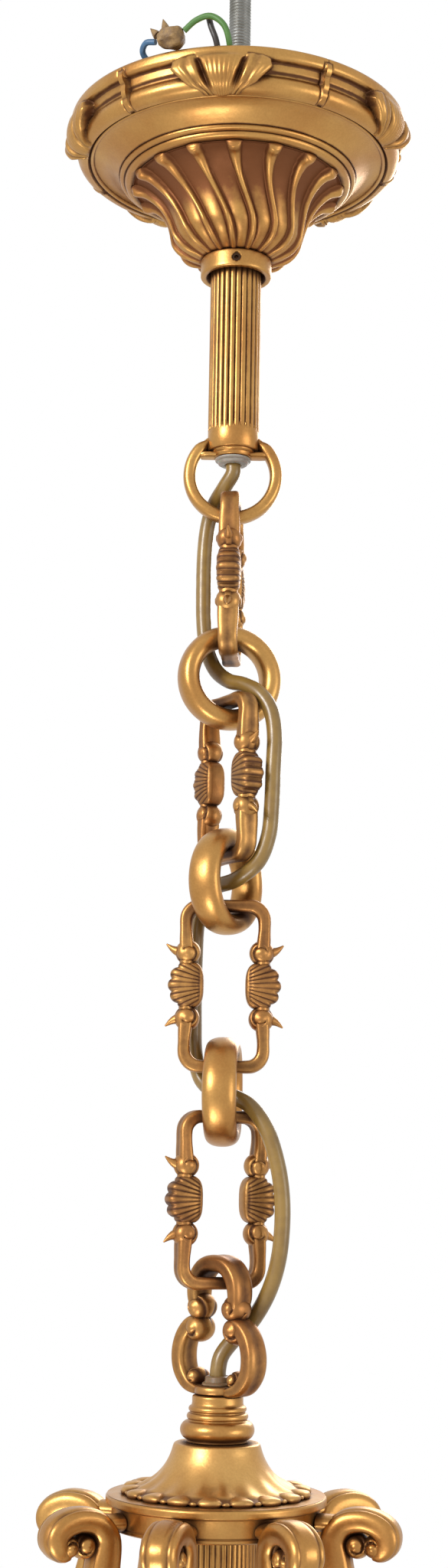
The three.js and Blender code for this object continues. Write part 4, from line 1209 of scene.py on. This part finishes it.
def rib_form(band_top, rib_foot, pan_seat, lit):
    """Rib with a rolled head over the crown, a broad S in the cage, and three volutes with two leaves."""
    fall = rib_foot - band_top
    curl = 42
    head = [
        (23.0, 15.0, 2.6, 5.0), (26.2, 14.0, 4.2, 6.6), (29.0, 10.9, 4.9, 7.3), (28.6, 7.0, 5.2, 7.4),
        (24.8, 3.9, 5.1, 7.4), (18.6, 2.5, 5.0, 7.4), (11.6, 4.2, 5.2, 7.3), (7.4, 10.0, 5.8, 7.25),
        (7.8, 18.2, 6.6, 7.25), (9.6, 27, 6.8, 6.9),
    ]
    leg = [
        (0.43, 0.15, 6.0, 6.5), (0.54, 0.3, 5.3, 6.1), (0.72, 0.44, 5, 6.05), (0.89, 0.58, 5, 6.05),
        (0.985, 0.71, 5, 6.05), (0.97, 0.83, 5, 6.05), (0.8, 0.93, 5, 6.05), (0.5, 0.99, 5, 6.05),
    ]
    head = [(curl + x, *rest) for x, *rest in head]
    leg = [(CAGE_RADIUS * x, fall * down, *sizes) for x, down, *sizes in leg]
    form = swept(Form(), hung([*head, *leg, (30.3, fall, 5, 6.05)], band_top), 7, 36, leaf_section)
    volute(form, curl + 16.7, level(band_top + 12.4), 4.9, 6.4, 1.2, 0.2)
    volute(form, curl + 23.7, level(band_top + 12.2), 4.6, 7.1, 1.2, 0.7)
    root = band_top + 0.74 * fall
    for x, d, size, start in ((CAGE_RADIUS - 10, root + 8, 7.0, 0.1), (CAGE_RADIUS + 4, root - 8, 5.6, 0.6),
                              (0.46 * CAGE_RADIUS, band_top + 0.2 * fall, 6.0, 0.3)):
        volute(form, x, level(d), size, 5.2, 1.7, start)
    leaves = (([(2, 14), (-2, 24), (6, 32), (15, 31)], 3.4), ([(6, -6), (16, -14), (27, -14)], 3.2))
    for leaf, thick in leaves:
        horn(form, hung([(CAGE_RADIUS + x, down) for x, down in leaf], root), thick)
    swept(form, hung([(x, 4.6, 3.4, 5.7) for x in (42.4, 46, 50, 54)], band_top), 1, 20)
    if lit:
        candle_arm(form, root, pan_seat + 0.3)
    return form


def candle_arm(form, root, seat):
    """Arm that rises from the rib and ends in the cup under a drip pan."""
    arm = [
        (CAGE_RADIUS - 2, root, 4.6), (CAGE_RADIUS + 12, root + 12, 4.3),
        (CAGE_RADIUS + 30, root + 19, 4.2), (LIGHT_RADIUS - 30, root + 17, 4.0),
        (LIGHT_RADIUS - 12, root + 6, 4.0), (LIGHT_RADIUS - 3, seat + 16, 4.4),
        (LIGHT_RADIUS, seat + 9, 5.4),
    ]
    swept(form, hung([(x, d, r, 1.12 * r) for x, d, r in arm]), 8, 28, grooved_section(0.14, 0.3))
    cup = below(
        seat, (0, 13.5), (3.4, 13), (5.2, 11), arc(6.2, 8.6, 2.2, 70, -60, 7), (6.2, 5.6), (6.6, 3.6),
        (8.4, 1.6), (9.3, 0.6), (9.3, 0.05), (4.5, 0), (4.5, -14), (0, -14),
    )
    lathe(form, cup[::-1], 48, centre=(LIGHT_RADIUS, 0))
    volute(form, LIGHT_RADIUS - 26, level(root + 22), 4.6, 5.2, 1.7, 0.2)


def drip_pan_form(seat):
    outer = below(
        seat, (4.8, 0), (12.2, 0), (14.6, -0.5), (18.8, -1.8), (22.8, -3.6), (25.0, -5.2),
        arc(25.1, -5.7, 0.6, 60, -90, 6),
    )
    inner = below(seat, (24.2, -5.6), (21.8, -3.9), (17.4, -2.8), (14.2, -2.3), (4.8, -2.2))

    def petals(angle, along, depth):
        lobe = np.abs(np.cos(np.radians(angle) * 6))
        near = ease(along, 0.35, 1.0)
        return 0.9 * near * (lobe**0.7 - 0.5), unit(1 - 0.8 * near * (1 - lobe) ** 2)

    return lathe(Form(), outer, 192, inner, petals, centre=(LIGHT_RADIUS, 0))


def candle_form(node_top, node_foot, seed):
    """Candle sleeve with run drips of wax below its rim."""
    draw = np.random.default_rng(seed)
    turns = draw.uniform(0, 360, 7)
    widths = draw.uniform(7, 15, 7)
    lengths = draw.uniform(0.12, 0.62, 7)
    rows = np.linspace(node_top + 1.2, node_foot - 0.6, 40)
    wall = [(12.1, d) for d in rows]
    outer = profile((11.5, node_top), (12.1, node_top + 0.35), *wall, (11.9, node_foot))

    def drips(angle, along, depth):
        lift = np.zeros(np.broadcast(angle, along).shape)
        for turn, width, length in zip(turns, widths, lengths):
            off = np.abs((angle - turn + 180) % 360 - 180)
            run = 1 - ease(along, length - 0.04, length + 0.015)
            bead = 0.5 * bell_curve(along - length + 0.03, 0.035)
            lift = np.maximum(lift, (0.8 * run + bead) * bell_curve(off, width * 0.62))
        lip = 0.5 * (1 - ease(along, 0.03, 0.09))
        return np.maximum(lift, lip) * ease(along, 0.0, 0.012), 1.0

    inner = profile((11.1, node_foot), (11.1, node_top + 1.2), (11.2, node_top + 0.2))
    return lathe(Form(), outer, 160, inner, drips, centre=(LIGHT_RADIUS, 0))


def light_forms(pan_seat):
    """The forms that all lights share, by name, at their radius on the X axis."""
    mouth = top("holder_1")
    seat = foot("candle_1")
    tip = top("lamp_1")
    centre = (LIGHT_RADIUS, 0)
    tube = profile((5, seat), (8.9, seat), below(mouth, (8.9, 3), (8.5, 2.4), (8.9, 1.8), (8.7, 0)))
    bore = below(mouth, (7.4, 0), (7.4, 22.2), (4.9, 22.2))
    flame = profile(
        below(mouth, (7.0, -0.8), (8.6, -4), (12.6, -12), (16.4, -21), (17.3, -29), (15.6, -38),
              (12.2, -47), (8.2, -56), (4.6, -64), (2.2, -70.5)),
        (0.9, tip + 1.2),
    )
    flame = smooth(flame, 5)
    inside = [(max(r - 0.8, 0.2), d) for r, d in flame[::-1]]
    cap = below(mouth, (0, 21.8), (3.4, 21.6), (4.2, 19.4), (6.9, 18.6), (6.9, 0.6), (7.0, -0.4),
                (6.0, -1.0), (0, -1.0))
    wire = [(LIGHT_RADIUS + 2.6 * math.sin(0.95 * k), -6 - 34 * k / 22, 0.22, 0.22) for k in range(23)]
    stalk = below(mouth, (0, -18), (0.9, -17), (1.6, -8), (3.6, -1))
    return {
        "pan": drip_pan_form(pan_seat),
        "socket": lathe(Form(), tube, 48, bore, centre=centre),
        "bulb": lathe(Form(), profile(flame, (0, tip)), 48, profile((0, tip + 3), *inside), centre=centre),
        "cap": lathe(Form(), cap[::-1], 40, centre=centre),
        "filament": swept(Form(), hung(wire, mouth), 3, 8),
        "stalk": lathe(Form(), stalk, 20, centre=centre),
    }


def lights():
    """The ribs, and the lights on every second one."""
    band_top = top("crown_disc") + CROWN_LIP
    pan_seat = foot("drip_pan_1")
    for i, azimuth in enumerate(RIB_TURNS, 1):
        rib = rib_form(band_top, pan_seat + RIB_DROP, pan_seat, azimuth in LIGHT_TURNS)
        piece(f"scroll_rib_{i}", Form().add(rib, azimuth - 90), GOLD, "cage", f"rib_{i}", sharp=50)
    forms = light_forms(pan_seat)
    for i, azimuth in enumerate(LIGHT_TURNS, 1):
        sleeve = candle_form(*ends("candle_1"), i)
        for name, form, skin, node, sharp in (
            ("petal_pan", forms["pan"], GOLD, "drip_pan", 0),
            ("wax_sleeve", sleeve, IVORY, "candle", 0),
            ("lamp_socket", forms["socket"], HOLDER_SKIN, "holder", 45),
            ("lamp_bulb", forms["bulb"], GLASS, "lamp", 0),
            ("lamp_cap", forms["cap"], LAMP_BRASS, None, 45),
            ("lamp_filament", forms["filament"], FILAMENT, None, 0),
            ("lamp_stalk", forms["stalk"], GLASS, None, 0),
        ):
            nodes = [f"{node}_{i}"] if node else []
            piece(f"{name}_{i}", Form().add(form, azimuth - 90), skin, "cage", *nodes, sharp=sharp)


def finish_cad_parts():
    """Steel nodes that keep their own shape."""
    for name, (material, _) in (("stem_bush", STEEL), ("tie_rod", STEEL), ("collar_screw", GRUB_BLACK)):
        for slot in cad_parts[name].material_slots:
            slot.material = material


set_camera()
set_light()
flex_pieces()
loose_cores()
hanging_rod()
stem()
canopy_rim()
canopy_bell()
collar()
stem_loop()
nylon_bush("stem_exit_bush", "stem_bushing", "suspension", NYLON, 7.8, True, 1.2)
nylon_bush("bow_entry_bush", "bow_bushing", "cage", AMBER_NYLON, 6.5, False)
chain()
cage_bow()
base_turning()
bell_cap()
crown_disc()
centre_column()
bottom_hub()
bottom_finial()
lights()
finish_cad_parts()
set_floor()
